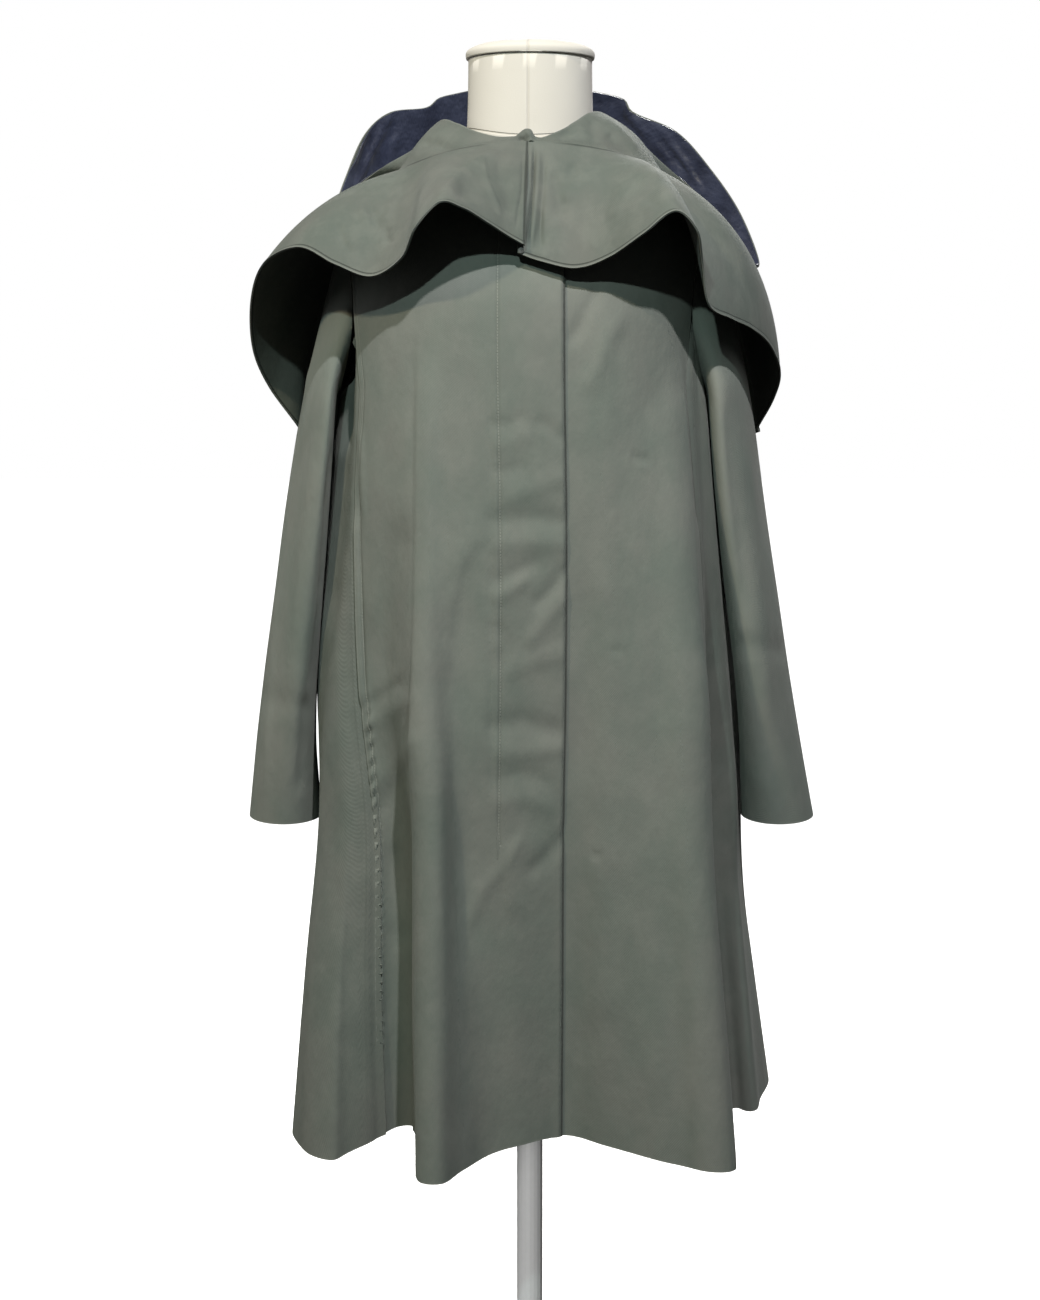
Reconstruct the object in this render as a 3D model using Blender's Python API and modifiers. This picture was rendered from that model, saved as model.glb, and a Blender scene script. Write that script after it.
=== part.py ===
"""A caped trench coat on a limbless dress form: the cloth cut as true thin walls, the form inside.

Metres. +Z is up, the coat faces -Y, +X is the viewer's right, and the origin is the middle of
the stand's flat underside. Angles run round the coat in degrees: 0 at the front, +90 at the
viewer's right, 180 at the back. "level" is the height of a point before the folds act on it.
"""

import math

import bmesh
import bpy
from mathutils import Vector

CLOTH = 0.0016  # gabardine, felled and pressed
LINING = 0.0011
SEAM = 0.14  # degrees that part two panels at a seam, about 0.5 mm
BODY_X = -0.005  # the coat hangs a little to the viewer's left of the pole
SQUARE = 2.3  # exponent of the body's cross-section; 2 would be an ellipse
HEM = 0.455
ARM_LEVEL, ARM_HIGH, ARM_WIDE = 1.209, 0.079, 27.0  # centre, half height, half angle
SIDE_SEAM = 57.0
SIDE_FULL = 0.015  # how much fuller the body hangs behind the sleeves

# The body, level by level: where the front, side and back lie, and how far out they stand.
SECTION_KEYS = ("level", "front_z", "side_z", "back_z", "right", "left", "front", "back")
SECTIONS = (
    (1.322, 1.338, 1.320, 1.345, 0.1160, 0.1160, 0.0780, 0.0820),
    (1.308, 1.312, 1.304, 1.326, 0.1420, 0.1420, 0.1000, 0.0920),
    (1.288, 1.282, 1.282, 1.296, 0.1680, 0.1680, 0.1200, 0.1050),
    (1.250, 1.248, 1.248, 1.252, 0.1700, 0.1670, 0.1360, 0.1160),
    (1.209, 1.209, 1.209, 1.209, 0.1710, 0.1660, 0.1450, 0.1220),
    (1.130, 1.130, 1.130, 1.130, 0.1735, 0.1680, 0.1480, 0.1260),
    (1.070, 1.070, 1.070, 1.070, 0.1775, 0.1730, 0.1490, 0.1270),
    (0.980, 0.980, 0.980, 0.980, 0.1835, 0.1815, 0.1500, 0.1310),
    (0.862, 0.862, 0.862, 0.862, 0.1898, 0.1880, 0.1500, 0.1380),
    (0.736, 0.736, 0.736, 0.736, 0.1878, 0.1900, 0.1500, 0.1460),
    (0.600, 0.600, 0.600, 0.600, 0.2000, 0.2000, 0.1490, 0.1550),
    (0.455, 0.455, 0.455, 0.455, 0.2100, 0.2100, 0.1480, 0.1650),
)

# The hem, point by point round it: where the cloth of that angle ends, and the level its fold
# starts to open from.
HEM_KEYS = ("angle", "x", "y", "z", "start")
HEM_POINTS = (
    (-180, 0.000, 0.172, 0.458, 1.05),
    (-162, -0.068, 0.216, 0.450, 1.08),
    (-143, -0.122, 0.152, 0.459, 1.05),
    (-124, -0.192, 0.158, 0.452, 1.08),
    (-106, -0.205, 0.040, 0.458, 1.05),
    (-94, -0.214, -0.030, 0.456, 1.05),
    (-83, -0.219, -0.105, 0.451, 1.05),
    (-70, -0.180, -0.163, 0.446, 1.05),
    (-57, -0.138, -0.130, 0.456, 1.05),
    (-46, -0.108, -0.120, 0.462, 1.08),
    (-39, -0.101, -0.170, 0.456, 1.16),
    (-31, -0.088, -0.218, 0.445, 1.16),
    (-20, -0.055, -0.196, 0.449, 1.16),
    (-8, -0.018, -0.168, 0.458, 1.12),
    (10, 0.030, -0.148, 0.463, 1.05),
    (22, 0.070, -0.163, 0.459, 1.08),
    (36, 0.125, -0.187, 0.451, 1.12),
    (46, 0.163, -0.196, 0.447, 1.14),
    (52, 0.178, -0.182, 0.446, 1.14),
    (58, 0.176, -0.135, 0.452, 1.14),
    (66, 0.167, -0.078, 0.457, 1.12),
    (76, 0.188, -0.048, 0.456, 1.05),
    (86, 0.213, -0.044, 0.455, 1.00),
    (97, 0.222, -0.008, 0.455, 1.00),
    (112, 0.238, 0.086, 0.452, 1.03),
    (126, 0.196, 0.140, 0.454, 1.05),
    (143, 0.128, 0.152, 0.459, 1.05),
    (162, 0.072, 0.216, 0.450, 1.08),
    (180, 0.000, 0.172, 0.458, 1.05),
)

LEVELS = (1.322, 1.308, 1.288, 1.262, 1.236, 1.209, 1.174, 1.140, 1.105, 1.050, 0.990, 0.930,
          0.860, 0.790, 0.720, 0.650, 0.580, 0.515, HEM)  # fmt: skip

# The sleeves hang empty and flat: one row a level, the two centres apart.
SLEEVE_KEYS = ("z", "left_x", "right_x", "y", "left_wide", "right_wide", "lean", "deep")
SLEEVES = (
    (1.100, -0.2014, 0.1900, -0.005, 0.0130, 0.0185, 0.0160, 0.0760),
    (1.016, -0.2115, 0.2000, -0.003, 0.0175, 0.0200, 0.0170, 0.0740),
    (0.977, -0.2155, 0.2051, -0.002, 0.0187, 0.0216, 0.0150, 0.0720),
    (0.924, -0.2216, 0.2131, 0.000, 0.0220, 0.0238, 0.0135, 0.0700),
    (0.862, -0.2284, 0.2218, 0.003, 0.0238, 0.0243, 0.0130, 0.0670),
    (0.800, -0.2330, 0.2299, 0.006, 0.0280, 0.0285, 0.0090, 0.0630),
    (0.732, -0.2345, 0.2375, 0.010, 0.0340, 0.0340, 0.0030, 0.0580),
)
SLEEVE_PIVOT_Z, SLEEVE_NEAR = 1.127, 0.0075

# The capelet: where each point of its hem hangs, from which angle of the neck seam, and how
# far the cloth bellies out on the way.
CAPE_KEYS = ("angle", "x", "y", "z", "rise")
CAPE_LEFT = (
    (-1, -0.0058, -0.153, 1.2605, 0.004),
    (-8, -0.0200, -0.158, 1.2680, 0.004),
    (-18, -0.0385, -0.171, 1.2788, 0.004),
    (-30, -0.0590, -0.187, 1.2895, 0.005),
    (-38, -0.0790, -0.197, 1.2918, 0.006),
    (-45, -0.0980, -0.190, 1.273, 0.006),
    (-51, -0.1110, -0.166, 1.249, 0.006),
    (-58, -0.1386, -0.145, 1.234, 0.008),
    (-66, -0.1716, -0.136, 1.245, 0.010),
    (-74, -0.2050, -0.115, 1.261, 0.012),
    (-81, -0.2400, -0.070, 1.250, 0.014),
    (-88, -0.2580, -0.020, 1.219, 0.015),
    (-95, -0.2625, 0.030, 1.174, 0.016),
    (-102, -0.2500, 0.062, 1.137, 0.024),
    (-110, -0.2235, 0.085, 1.098, 0.034),
    (-120, -0.2280, 0.140, 1.092, 0.038),
    (-131, -0.1780, 0.158, 1.078, 0.036),
    (-142, -0.1500, 0.205, 1.084, 0.026),
    (-154, -0.0850, 0.170, 1.066, 0.024),
    (-167, -0.0420, 0.216, 1.074, 0.018),
    (-180, 0.0000, 0.180, 1.064, 0.018),
    (-193, 0.0420, 0.216, 1.074, 0.018),
)
CAPE_RIGHT = (
    (-8, -0.0115, -0.150, 1.2540, 0.002),
    (2, 0.0060, -0.150, 1.2478, 0.003),
    (14, 0.0383, -0.150, 1.241, 0.004),
    (27, 0.0684, -0.160, 1.250, 0.006),
    (38, 0.0975, -0.179, 1.269, 0.008),
    (47, 0.1235, -0.185, 1.287, 0.010),
    (54, 0.1423, -0.175, 1.271, 0.012),
    (60, 0.1488, -0.152, 1.244, 0.014),
    (66, 0.1563, -0.130, 1.210, 0.018),
    (72, 0.1780, -0.108, 1.199, 0.022),
    (78, 0.1990, -0.082, 1.191, 0.026),
    (84, 0.2200, -0.040, 1.177, 0.028),
    (91, 0.2350, 0.010, 1.152, 0.029),
    (98, 0.2330, 0.050, 1.127, 0.029),
    (107, 0.2220, 0.085, 1.100, 0.028),
    (118, 0.2260, 0.140, 1.094, 0.032),
    (130, 0.1780, 0.158, 1.078, 0.032),
    (142, 0.1500, 0.205, 1.084, 0.026),
    (154, 0.0850, 0.170, 1.066, 0.024),
    (167, 0.0420, 0.216, 1.074, 0.018),
    (180, 0.0000, 0.180, 1.064, 0.018),
    (193, -0.0420, 0.216, 1.074, 0.018),
)

# The hood lies open down the back: where each point of its rim stands, and how far the near
# and the far wall of its pouch hang back and down from the straight line to the rim.
HOOD_KEYS = ("angle", "x", "y", "z", "near_back", "near_drop", "far_back", "far_drop")
HOOD = (
    (-194, 0.104, 0.194, 1.416, 0.084, 0.170, 0.130, 0.205),
    (-180, 0.001, 0.195, 1.443, 0.092, 0.190, 0.145, 0.225),
    (-170, -0.085, 0.197, 1.432, 0.088, 0.180, 0.138, 0.215),
    (-164, -0.104, 0.193, 1.420, 0.082, 0.165, 0.128, 0.200),
    (-158, -0.140, 0.183, 1.414, 0.076, 0.150, 0.115, 0.180),
    (-152, -0.164, 0.166, 1.391, 0.066, 0.125, 0.098, 0.150),
    (-145, -0.181, 0.143, 1.349, 0.052, 0.085, 0.075, 0.105),
    (-137, -0.189, 0.112, 1.316, 0.034, 0.040, 0.045, 0.050),
    (-126, -0.172, 0.082, 1.327, 0.010, 0.008, 0.010, 0.006),
    (-114, -0.144, 0.055, 1.345, 0.001, 0.000, 0.001, -0.003),
    (-100, -0.106, 0.030, 1.364, -0.001, -0.003, 0.000, -0.005),
    (-88, -0.084, 0.000, 1.384, -0.002, -0.006, 0.000, -0.006),
    (-74, -0.067, -0.026, 1.379, -0.004, -0.004, -0.002, -0.004),
    (-58, -0.051, -0.048, 1.370, -0.003, -0.001, -0.002, -0.001),
    (-38, -0.030, -0.063, 1.363, -0.002, 0.000, -0.002, 0.000),
    (-16, -0.011, -0.075, 1.362, -0.002, 0.000, -0.001, 0.000),
    (0, 0.001, -0.077, 1.362, -0.001, 0.000, -0.001, 0.000),
    (16, 0.010, -0.074, 1.361, -0.002, 0.000, -0.001, 0.000),
    (38, 0.027, -0.065, 1.369, -0.002, 0.000, -0.002, 0.000),
    (58, 0.042, -0.049, 1.379, -0.003, -0.002, -0.002, -0.003),
    (74, 0.054, -0.031, 1.388, -0.004, -0.006, -0.002, -0.006),
    (86, 0.067, -0.003, 1.391, -0.002, -0.008, 0.000, -0.008),
    (97, 0.090, 0.025, 1.380, 0.000, -0.008, 0.000, -0.010),
    (108, 0.122, 0.050, 1.354, 0.003, -0.001, 0.003, -0.004),
    (118, 0.168, 0.074, 1.317, 0.012, 0.006, 0.012, 0.002),
    (127, 0.212, 0.098, 1.262, 0.028, 0.020, 0.030, 0.004),
    (134, 0.226, 0.120, 1.262, 0.040, 0.045, 0.052, 0.030),
    (142, 0.209, 0.143, 1.311, 0.052, 0.080, 0.072, 0.080),
    (150, 0.182, 0.160, 1.354, 0.064, 0.115, 0.092, 0.125),
    (158, 0.148, 0.178, 1.394, 0.076, 0.148, 0.113, 0.170),
    (166, 0.104, 0.194, 1.416, 0.084, 0.170, 0.130, 0.205),
    (171, 0.090, 0.197, 1.431, 0.088, 0.180, 0.138, 0.215),
    (180, 0.001, 0.195, 1.443, 0.092, 0.190, 0.145, 0.225),
    (190, -0.085, 0.197, 1.432, 0.088, 0.180, 0.138, 0.215),
)

# The form's cross-sections, from the flat underside of the torso to the neck's top.
FORM_KEYS = ("z", "wide", "front", "back", "y")
FORM = (
    (0.700, 0.1350, 0.085, 0.095, 0.000),
    (0.712, 0.1480, 0.095, 0.106, 0.000),
    (0.800, 0.1600, 0.106, 0.118, 0.000),
    (0.880, 0.1480, 0.100, 0.108, 0.000),
    (0.975, 0.1220, 0.088, 0.084, 0.000),
    (1.060, 0.1340, 0.100, 0.090, 0.000),
    (1.145, 0.1430, 0.122, 0.098, 0.000),
    (1.210, 0.1450, 0.108, 0.098, 0.000),
    (1.255, 0.1430, 0.090, 0.090, 0.000),
    (1.285, 0.1300, 0.074, 0.078, 0.002),
    (1.304, 0.1060, 0.064, 0.068, 0.003),
    (1.322, 0.0800, 0.058, 0.060, 0.004),
    (1.345, 0.0630, 0.055, 0.055, 0.004),
    (1.380, 0.0585, 0.052, 0.053, 0.003),
    (1.440, 0.0580, 0.052, 0.053, 0.003),
)
NECK_CAP = ((0.0600, 1.4405), (0.0610, 1.4450), (0.0590, 1.4490), (0.0480, 1.4530))
POLE_RADIUS, BASE_RADIUS, BASE_HIGH = 0.0125, 0.180, 0.014
PLACKET = (-9.5, 8.6)  # the hidden strip behind the front edge, in degrees
PLACKET_LEVELS = (1.236, 1.209, 1.174, 1.140, 1.105, 1.050, 0.990, 0.930, 0.860, 0.790, 0.720)
POCKET_TOP, POCKET_FOOT = 1.012, 0.848  # the opening left in the front seam
SNAP = (0.0025, 0.0014)  # radius and height

MATERIALS = {
    "gabardine": ((0.118, 0.133, 0.112, 1.0), 0.85, 0.0),
    "satin": ((0.020, 0.022, 0.038, 1.0), 0.45, 0.0),
    "jersey": ((0.780, 0.740, 0.660, 1.0), 0.90, 0.0),
    "steel": ((0.560, 0.560, 0.560, 1.0), 0.30, 1.0),
}


def clear():
    for held in list(bpy.data.objects):
        bpy.data.objects.remove(held, do_unlink=True)


def column(rows, keys, name):
    place = keys.index(name)
    return [(row[0], row[place]) for row in rows]


def curve(points, at):
    """A smooth run through (position, value) points, which rise in position."""
    last = len(points) - 1
    at = min(max(at, points[0][0]), points[last][0])
    i = max(k for k in range(last) if points[k][0] <= at)
    (x0, y0), (x1, y1) = points[i], points[i + 1]
    width = x1 - x0
    mid = (y1 - y0) / width
    slope0 = slope1 = mid
    if i > 0:
        before = points[i - 1]
        slope0 = (y1 - before[1]) / (x1 - before[0])
    if i < last - 1:
        after = points[i + 2]
        slope1 = (after[1] - y0) / (after[0] - x0)
    t = (at - x0) / width
    return (
        (2 * t**3 - 3 * t**2 + 1) * y0
        + (t**3 - 2 * t**2 + t) * width * slope0
        + (3 * t**2 - 2 * t**3) * y1
        + (t**3 - t**2) * width * slope1
    )


def table(rows, keys):
    """Every column of a table as its own curve."""
    ordered = sorted(rows)
    return {name: column(ordered, keys, name) for name in keys[1:]}


def smooth(t):
    t = min(max(t, 0.0), 1.0)
    return t * t * (3 - 2 * t)


def steps(low, high, count):
    return [low + (high - low) * i / count for i in range(count + 1)]


BODY = table(SECTIONS, SECTION_KEYS)
SKIRT = table(HEM_POINTS, HEM_KEYS)
ARMS = table(SLEEVES, SLEEVE_KEYS)
COWL = table(HOOD, HOOD_KEYS)
FIGURE = table(FORM, FORM_KEYS)


def turned(angle):
    """The same angle between -180 and 180."""
    return (angle + 180.0) % 360.0 - 180.0 if abs(angle) > 180.0 else angle


def unfolded(angle, level):
    """The body's surface with no folds in it."""
    s, c = math.sin(math.radians(angle)), math.cos(math.radians(angle))
    power = 2.0 / SQUARE
    deep = curve(BODY["front" if c > 0 else "back"], level)
    side_z = curve(BODY["side_z"], level)
    end_z = curve(BODY["front_z" if c > 0 else "back_z"], level)
    wide = curve(BODY["left" if s > 0 else "right"], level) * abs(s) ** power
    hung = smooth((1.130 - level) / 0.05) * smooth((level - 0.610) / 0.22)
    wide += SIDE_FULL * hung * math.exp(-(((abs(turned(angle)) - 106.0) / 13.0) ** 2))
    x = BODY_X + math.copysign(wide, s)
    y = -deep * math.copysign(abs(c) ** power, c)
    return Vector((x, y, side_z + (end_z - side_z) * c * c))


def body(angle, level, inset=0.0):
    """A point of the coat's body, folds and all."""
    angle = turned(angle)
    point = unfolded(angle, level)
    start = curve(SKIRT["start"], angle)
    open_by = max(0.0, (start - level) / (start - HEM)) ** 1.1
    hem = Vector([curve(SKIRT[k], angle) for k in ("x", "y", "z")])
    point = point + (hem - unfolded(angle, HEM)) * open_by
    if inset:
        beside = body(angle + 1.0, level) - body(angle - 1.0, level)
        outward = beside.cross(Vector((0, 0, 1))).normalized()
        point = point - outward * inset
    return point


def seam_angle(level):
    return SIDE_SEAM + 6.0 * min(max((level - 1.140) / 0.069, 0.0), 1.0)


def front_reach(level):
    """How far round a front or back panel goes: to the shoulder, the armhole or the seam."""
    if level >= ARM_LEVEL + ARM_HIGH - 1e-6:
        return 90.0
    if level > ARM_LEVEL:
        rise = (level - ARM_LEVEL) / ARM_HIGH
        return 90.0 - ARM_WIDE * math.sqrt(1.0 - rise * rise)
    return seam_angle(level)


def material(kind, name):
    made = bpy.data.materials.new(name)
    made.use_nodes = True
    shader = made.node_tree.nodes["Principled BSDF"]
    colour, rough, metal = MATERIALS[kind]
    shader.inputs["Base Color"].default_value = colour
    shader.inputs["Roughness"].default_value = rough
    shader.inputs["Metallic"].default_value = metal
    made.diffuse_color = colour
    return made


def add(name, mesh, kind, smooth_faces=True):
    held = bpy.data.objects.new(name, mesh)
    COAT.objects.link(held)
    mesh.materials.append(material(kind, name + "_look"))
    for face in mesh.polygons:
        face.use_smooth = smooth_faces
    return held


def sheet_mesh(name, rows, ring):
    wide = len(rows[0])
    mesh = bpy.data.meshes.new(name)
    quads = []
    for r in range(len(rows) - 1):
        for c in range(wide if ring else wide - 1):
            d = (c + 1) % wide
            quads.append((r * wide + c, (r + 1) * wide + c, (r + 1) * wide + d, r * wide + d))
    mesh.from_pydata([p for row in rows for p in row], [], quads)
    return mesh


def cloth(name, rows, kind="gabardine", thick=CLOTH, ring=False, even=True):
    """A cloth piece: an open surface of rows of points, given its thickness."""
    held = add(name, sheet_mesh(name, rows, ring), kind)
    wall = held.modifiers.new("wall", "SOLIDIFY")
    wall.thickness = thick
    wall.offset = 0.0
    wall.use_even_offset = even
    return held


def solid(name, rings, kind):
    """A closed body through rings of points, flat at both ends."""
    made = bmesh.new()
    loops = [[made.verts.new(p) for p in ring] for ring in rings]
    count = len(loops[0])
    for low, high in zip(loops, loops[1:]):
        for i in range(count):
            j = (i + 1) % count
            made.faces.new((low[i], low[j], high[j], high[i]))
    made.faces.new(list(reversed(loops[0])))
    made.faces.new(loops[-1])
    bmesh.ops.recalc_face_normals(made, faces=made.faces)
    mesh = bpy.data.meshes.new(name)
    made.to_mesh(mesh)
    made.free()
    return add(name, mesh, kind)


def ellipse(z, wide, front, back, y, count):
    ring = []
    for i in range(count):
        turn = 2 * math.pi * i / count
        deep = front if math.cos(turn) > 0 else back
        ring.append((wide * math.sin(turn), y - deep * math.cos(turn), z))
    return ring


# ---- the body panels -----------------------------------------------------------------------


def front_panel(name, edge, side, count, inset):
    rows = []
    for level in LEVELS:
        reach = side * (front_reach(level) - SEAM)
        low, high = sorted((edge, reach))
        rows.append([body(a, level, inset(a)) for a in steps(low, high, count)])
    return cloth(name, rows)


def lapped(angle):
    """The under front lies behind the overlap and comes out flush beyond it."""
    return 0.0052 * (1.0 - smooth((angle - 9.0) / 15.0))


def back_panel():
    rows = []
    for level in LEVELS:
        start = 180.0 - front_reach(level) + SEAM
        rows.append([body(a, level) for a in steps(start, 360.0 - start, 28)])
    return cloth("back", rows)


def side_panel(name, side):
    count = 14
    shared = [level for level in LEVELS if level < 1.10]
    first = LEVELS.index(1.105)
    rows = []
    for k in range(4):
        low_level = (1.209, 1.174, 1.140, 1.105)[k]
        near = seam_angle(low_level) + SEAM
        row = []
        for a in steps(near, 180.0 - near, count):
            across = min(abs(a - 90.0) / ARM_WIDE, 1.0)
            top = ARM_LEVEL - (ARM_HIGH + 0.0006) * math.sqrt(1.0 - across * across)
            level = top + (LEVELS[first] - top) * (1.209 - low_level) / (1.209 - 1.105)
            row.append((a, level))
        rows.append(row)
    for level in shared:
        near = seam_angle(level) + SEAM
        rows.append([(a, level) for a in steps(near, 180.0 - near, count)])
    if side < 0:
        rows = [[(-a, level) for a, level in reversed(row)] for row in rows]
    return cloth(name, [[body(a, level) for a, level in row] for row in rows])


def placket():
    rows = [
        [body(a, level, 0.0024) for a in steps(PLACKET[0], PLACKET[1], 4)]
        for level in PLACKET_LEVELS
    ]
    return cloth("fly_placket", rows)


def pocket_welt(name, side):
    """A folded strip that backs the pocket's mouth in the front seam."""
    rows = []
    for level in steps(POCKET_TOP, POCKET_FOOT, 4):
        low, high = sorted((side * 52.0, side * 60.5))
        rows.append([body(a, level, 0.0030) for a in steps(low, high, 3)])
    return cloth(name, rows)


# ---- the sleeves ---------------------------------------------------------------------------


def armhole_point(side, turn):
    """A point of the sleeve's head; turn 0 is the shoulder, 90 the front."""
    s, c = math.sin(math.radians(turn)), math.cos(math.radians(turn))
    angle = 90.0 - (ARM_WIDE - 1.3) * s
    return body(side * angle, ARM_LEVEL + (ARM_HIGH - 0.0030) * c)


def head_point(side, swing, turn):
    """The sleeve's cross-section on a plane swung from upright (0) to level (90)."""
    centre = curve(ARMS["left_x" if side < 0 else "right_x"], 1.100)
    pivot_x = abs(armhole_point(side, 180.0)[0])
    wide = curve(ARMS["left_wide" if side < 0 else "right_wide"], 1.100)
    reach = abs(centre) + wide - 0.0035 - pivot_x
    tall = ARM_LEVEL + ARM_HIGH - SLEEVE_PIVOT_Z
    a, t = math.radians(swing), math.radians(turn)
    outer = ((max(math.cos(a), 0.0) / tall) ** 1.2 + (math.sin(a) / reach) ** 1.2) ** (-1 / 1.2)
    middle, half = (outer + SLEEVE_NEAR) / 2, (outer - SLEEVE_NEAR) / 2
    r = middle + half * math.cos(t)
    y = -0.0065 - 0.0755 * math.sin(t)
    lean = curve(ARMS["lean"], 1.100) * smooth(swing / 90.0) * math.sin(t)
    x = side * (pivot_x + r * math.sin(a) - lean)
    return Vector((x, y, SLEEVE_PIVOT_Z + r * math.cos(a)))


def sleeve(name, side):
    turns = [360.0 * i / 18 for i in range(18)]
    rows = []
    for swing in (0, 16, 34, 52, 70, 90):
        keep = 1.0 - smooth(swing / 60.0)
        rows.append(
            [
                head_point(side, swing, t)
                + (armhole_point(side, t) - head_point(side, 0, t)) * keep
                for t in turns
            ]
        )
    for z in (1.080, 1.020, 0.950, 0.880, 0.810, 0.765, 0.732):
        ring = []
        for t in turns:
            s, c = math.sin(math.radians(t)), math.cos(math.radians(t))
            x = curve(ARMS["left_x" if side < 0 else "right_x"], z)
            wide = curve(ARMS["left_wide" if side < 0 else "right_wide"], z)
            x += side * (wide * c - curve(ARMS["lean"], z) * s)
            ring.append(Vector((x, curve(ARMS["y"], z) - curve(ARMS["deep"], z) * s, z)))
        rows.append(ring)
    if side < 0:
        rows = [list(reversed(row)) for row in rows]
    return cloth(name, [list(reversed(row)) for row in rows], ring=True)


# ---- the capelet and the hood --------------------------------------------------------------


def neck_seam(angle):
    s, c = math.sin(math.radians(angle)), math.cos(math.radians(angle))
    end_z = 1.352 if c > 0 else 1.358
    z = 1.331 + (end_z - 1.331) * c * c
    return Vector((0.124 * s, -(0.085 if c > 0 else 0.090) * c, z))


def bezier(points, t):
    while len(points) > 1:
        points = [a.lerp(b, t) for a, b in zip(points, points[1:])]
    return points[0]


def capelet_half(name, rows, counts, sink=0.0):
    shape = table(rows, CAPE_KEYS)
    ends = sorted((rows[0][0], math.copysign(180.0 - 2 * SEAM, rows[-1][0])))
    grid = []
    for t in (0.0, 0.16, 0.34, 0.52, 0.70, 0.86, 1.0):
        row = []
        for angle in steps(ends[0], ends[1], counts):
            top = neck_seam(angle)
            foot = Vector([curve(shape[k], angle) for k in ("x", "y", "z")])
            run = foot - top
            flat = Vector((run.x, run.y, 0.0))
            belly = (flat.normalized() * -run.z + Vector((0, 0, flat.length))).normalized()
            middle = (top + foot) / 2 + belly * 2 * curve(shape["rise"], angle)
            inward = Vector((0, 1, 0)) * sink * (1.0 - smooth((angle - 2.0) / 14.0))
            row.append(bezier([top, middle, foot], t) + inward)
        grid.append(row)
    return cloth(name, grid)


def hood_point(angle, t):
    start = neck_seam(angle) + Vector((0, 0, 0.0036))
    rim = Vector([curve(COWL[k], angle) for k in ("x", "y", "z")])
    walls = [
        start.lerp(rim, share)
        + Vector((0, curve(COWL[wall + "_back"], angle), -curve(COWL[wall + "_drop"], angle)))
        for wall, share in (("near", 0.33), ("far", 0.67))
    ]
    return bezier([start, *walls, rim], t)


def hood(name, kind, inset):
    """The hood from neck seam to rim; inset is how far this layer lies inside the shell."""
    angles = [
        -180, -173, -166, -159, -153, -147, -141, -135, -128, -120, -111, -101, -89, -75,
        -58, -40, -20, 0, 20, 40, 58, 74, 87, 98, 107, 115, 122, 128, 134, 140, 146, 152,
        158, 165, 172,
    ]  # fmt: skip
    shares = (0.0, 0.14, 0.28, 0.42, 0.56, 0.70, 0.85, 1.0)
    rows = [[hood_point(angle, t) for angle in angles] for t in shares]
    if inset:
        shell = sheet_mesh("shell", rows, ring=True)
        out = [v.co + v.normal * inset for v in shell.vertices]
        bpy.data.meshes.remove(shell)
        wide = len(angles)
        rows = [out[k : k + wide] for k in range(0, len(out), wide)]
    return cloth(name, rows, kind, LINING, ring=True, even=False)


def snap():
    foot = Vector((-0.0085, -0.1482, 1.2566))
    rings = []
    for radius, out in ((SNAP[0], 0.0), (SNAP[0], SNAP[1] * 0.5), (SNAP[0] * 0.6, SNAP[1])):
        ring = []
        for i in range(12):
            turn = 2 * math.pi * i / 12
            ring.append(foot + Vector((radius * math.cos(turn), -out, radius * math.sin(turn))))
        rings.append(ring)
    return solid("capelet_snap", rings, "steel")


# ---- the form and its stand ----------------------------------------------------------------


def dress_form():
    levels = (0.700, 0.712, 0.755, 0.800, 0.860, 0.920, 0.975, 1.030, 1.090, 1.145, 1.185,
              1.225, 1.255, 1.280, 1.304, 1.322, 1.345, 1.380, 1.440)  # fmt: skip
    rings = []
    for z in levels:
        wide, front, back, y = (curve(FIGURE[k], z) for k in FORM_KEYS[1:])
        rings.append(ellipse(z, wide, front, back, y, 24))
    solid("form_torso", rings, "jersey")
    cap = [ellipse(z, r, r * 0.9, r * 0.92, 0.003, 24) for r, z in NECK_CAP]
    solid("neck_cap", cap, "jersey")


def stand():
    pole = [ellipse(z, POLE_RADIUS, POLE_RADIUS, POLE_RADIUS, 0.0, 20)
            for z in (BASE_HIGH + 0.0003, 0.6997)]  # fmt: skip
    solid("pole", pole, "steel")
    rings = [
        ellipse(z, r, r, r, 0.0, 36)
        for r, z in (
            (BASE_RADIUS - 0.003, 0.0),
            (BASE_RADIUS, 0.003),
            (BASE_RADIUS, BASE_HIGH * 0.6),
            (BASE_RADIUS - 0.004, BASE_HIGH),
        )
    ]
    solid("base_plate", rings, "steel")


clear()
COAT = bpy.data.collections.new("trench_coat")
bpy.context.scene.collection.children.link(COAT)

front_panel("right_front", 9.6, -1, 18, lambda angle: 0.0)
front_panel("left_front", -8.5, 1, 18, lapped)
side_panel("right_side", -1)
side_panel("left_side", 1)
back_panel()
placket()
pocket_welt("right_pocket_welt", -1)
pocket_welt("left_pocket_welt", 1)
sleeve("right_sleeve", -1)
sleeve("left_sleeve", 1)
capelet_half("capelet_right", CAPE_LEFT, 38)
capelet_half("capelet_left", CAPE_RIGHT, 38, sink=0.0030)
hood("hood_shell", "gabardine", 0.0)
hood("hood_lining", "satin", 0.0021)
snap()
dress_form()
stand()
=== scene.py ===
"""A caped trench coat on a limbless dress form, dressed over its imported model.

Metres. +Z is up, the coat faces -Y and +X is the viewer's right. Angles run round the coat in
degrees: 0 at the front, 90 at the viewer's right, 180 at the back. A "level" is the height of a
point of the coat before its folds act on it.
"""

import math

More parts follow.
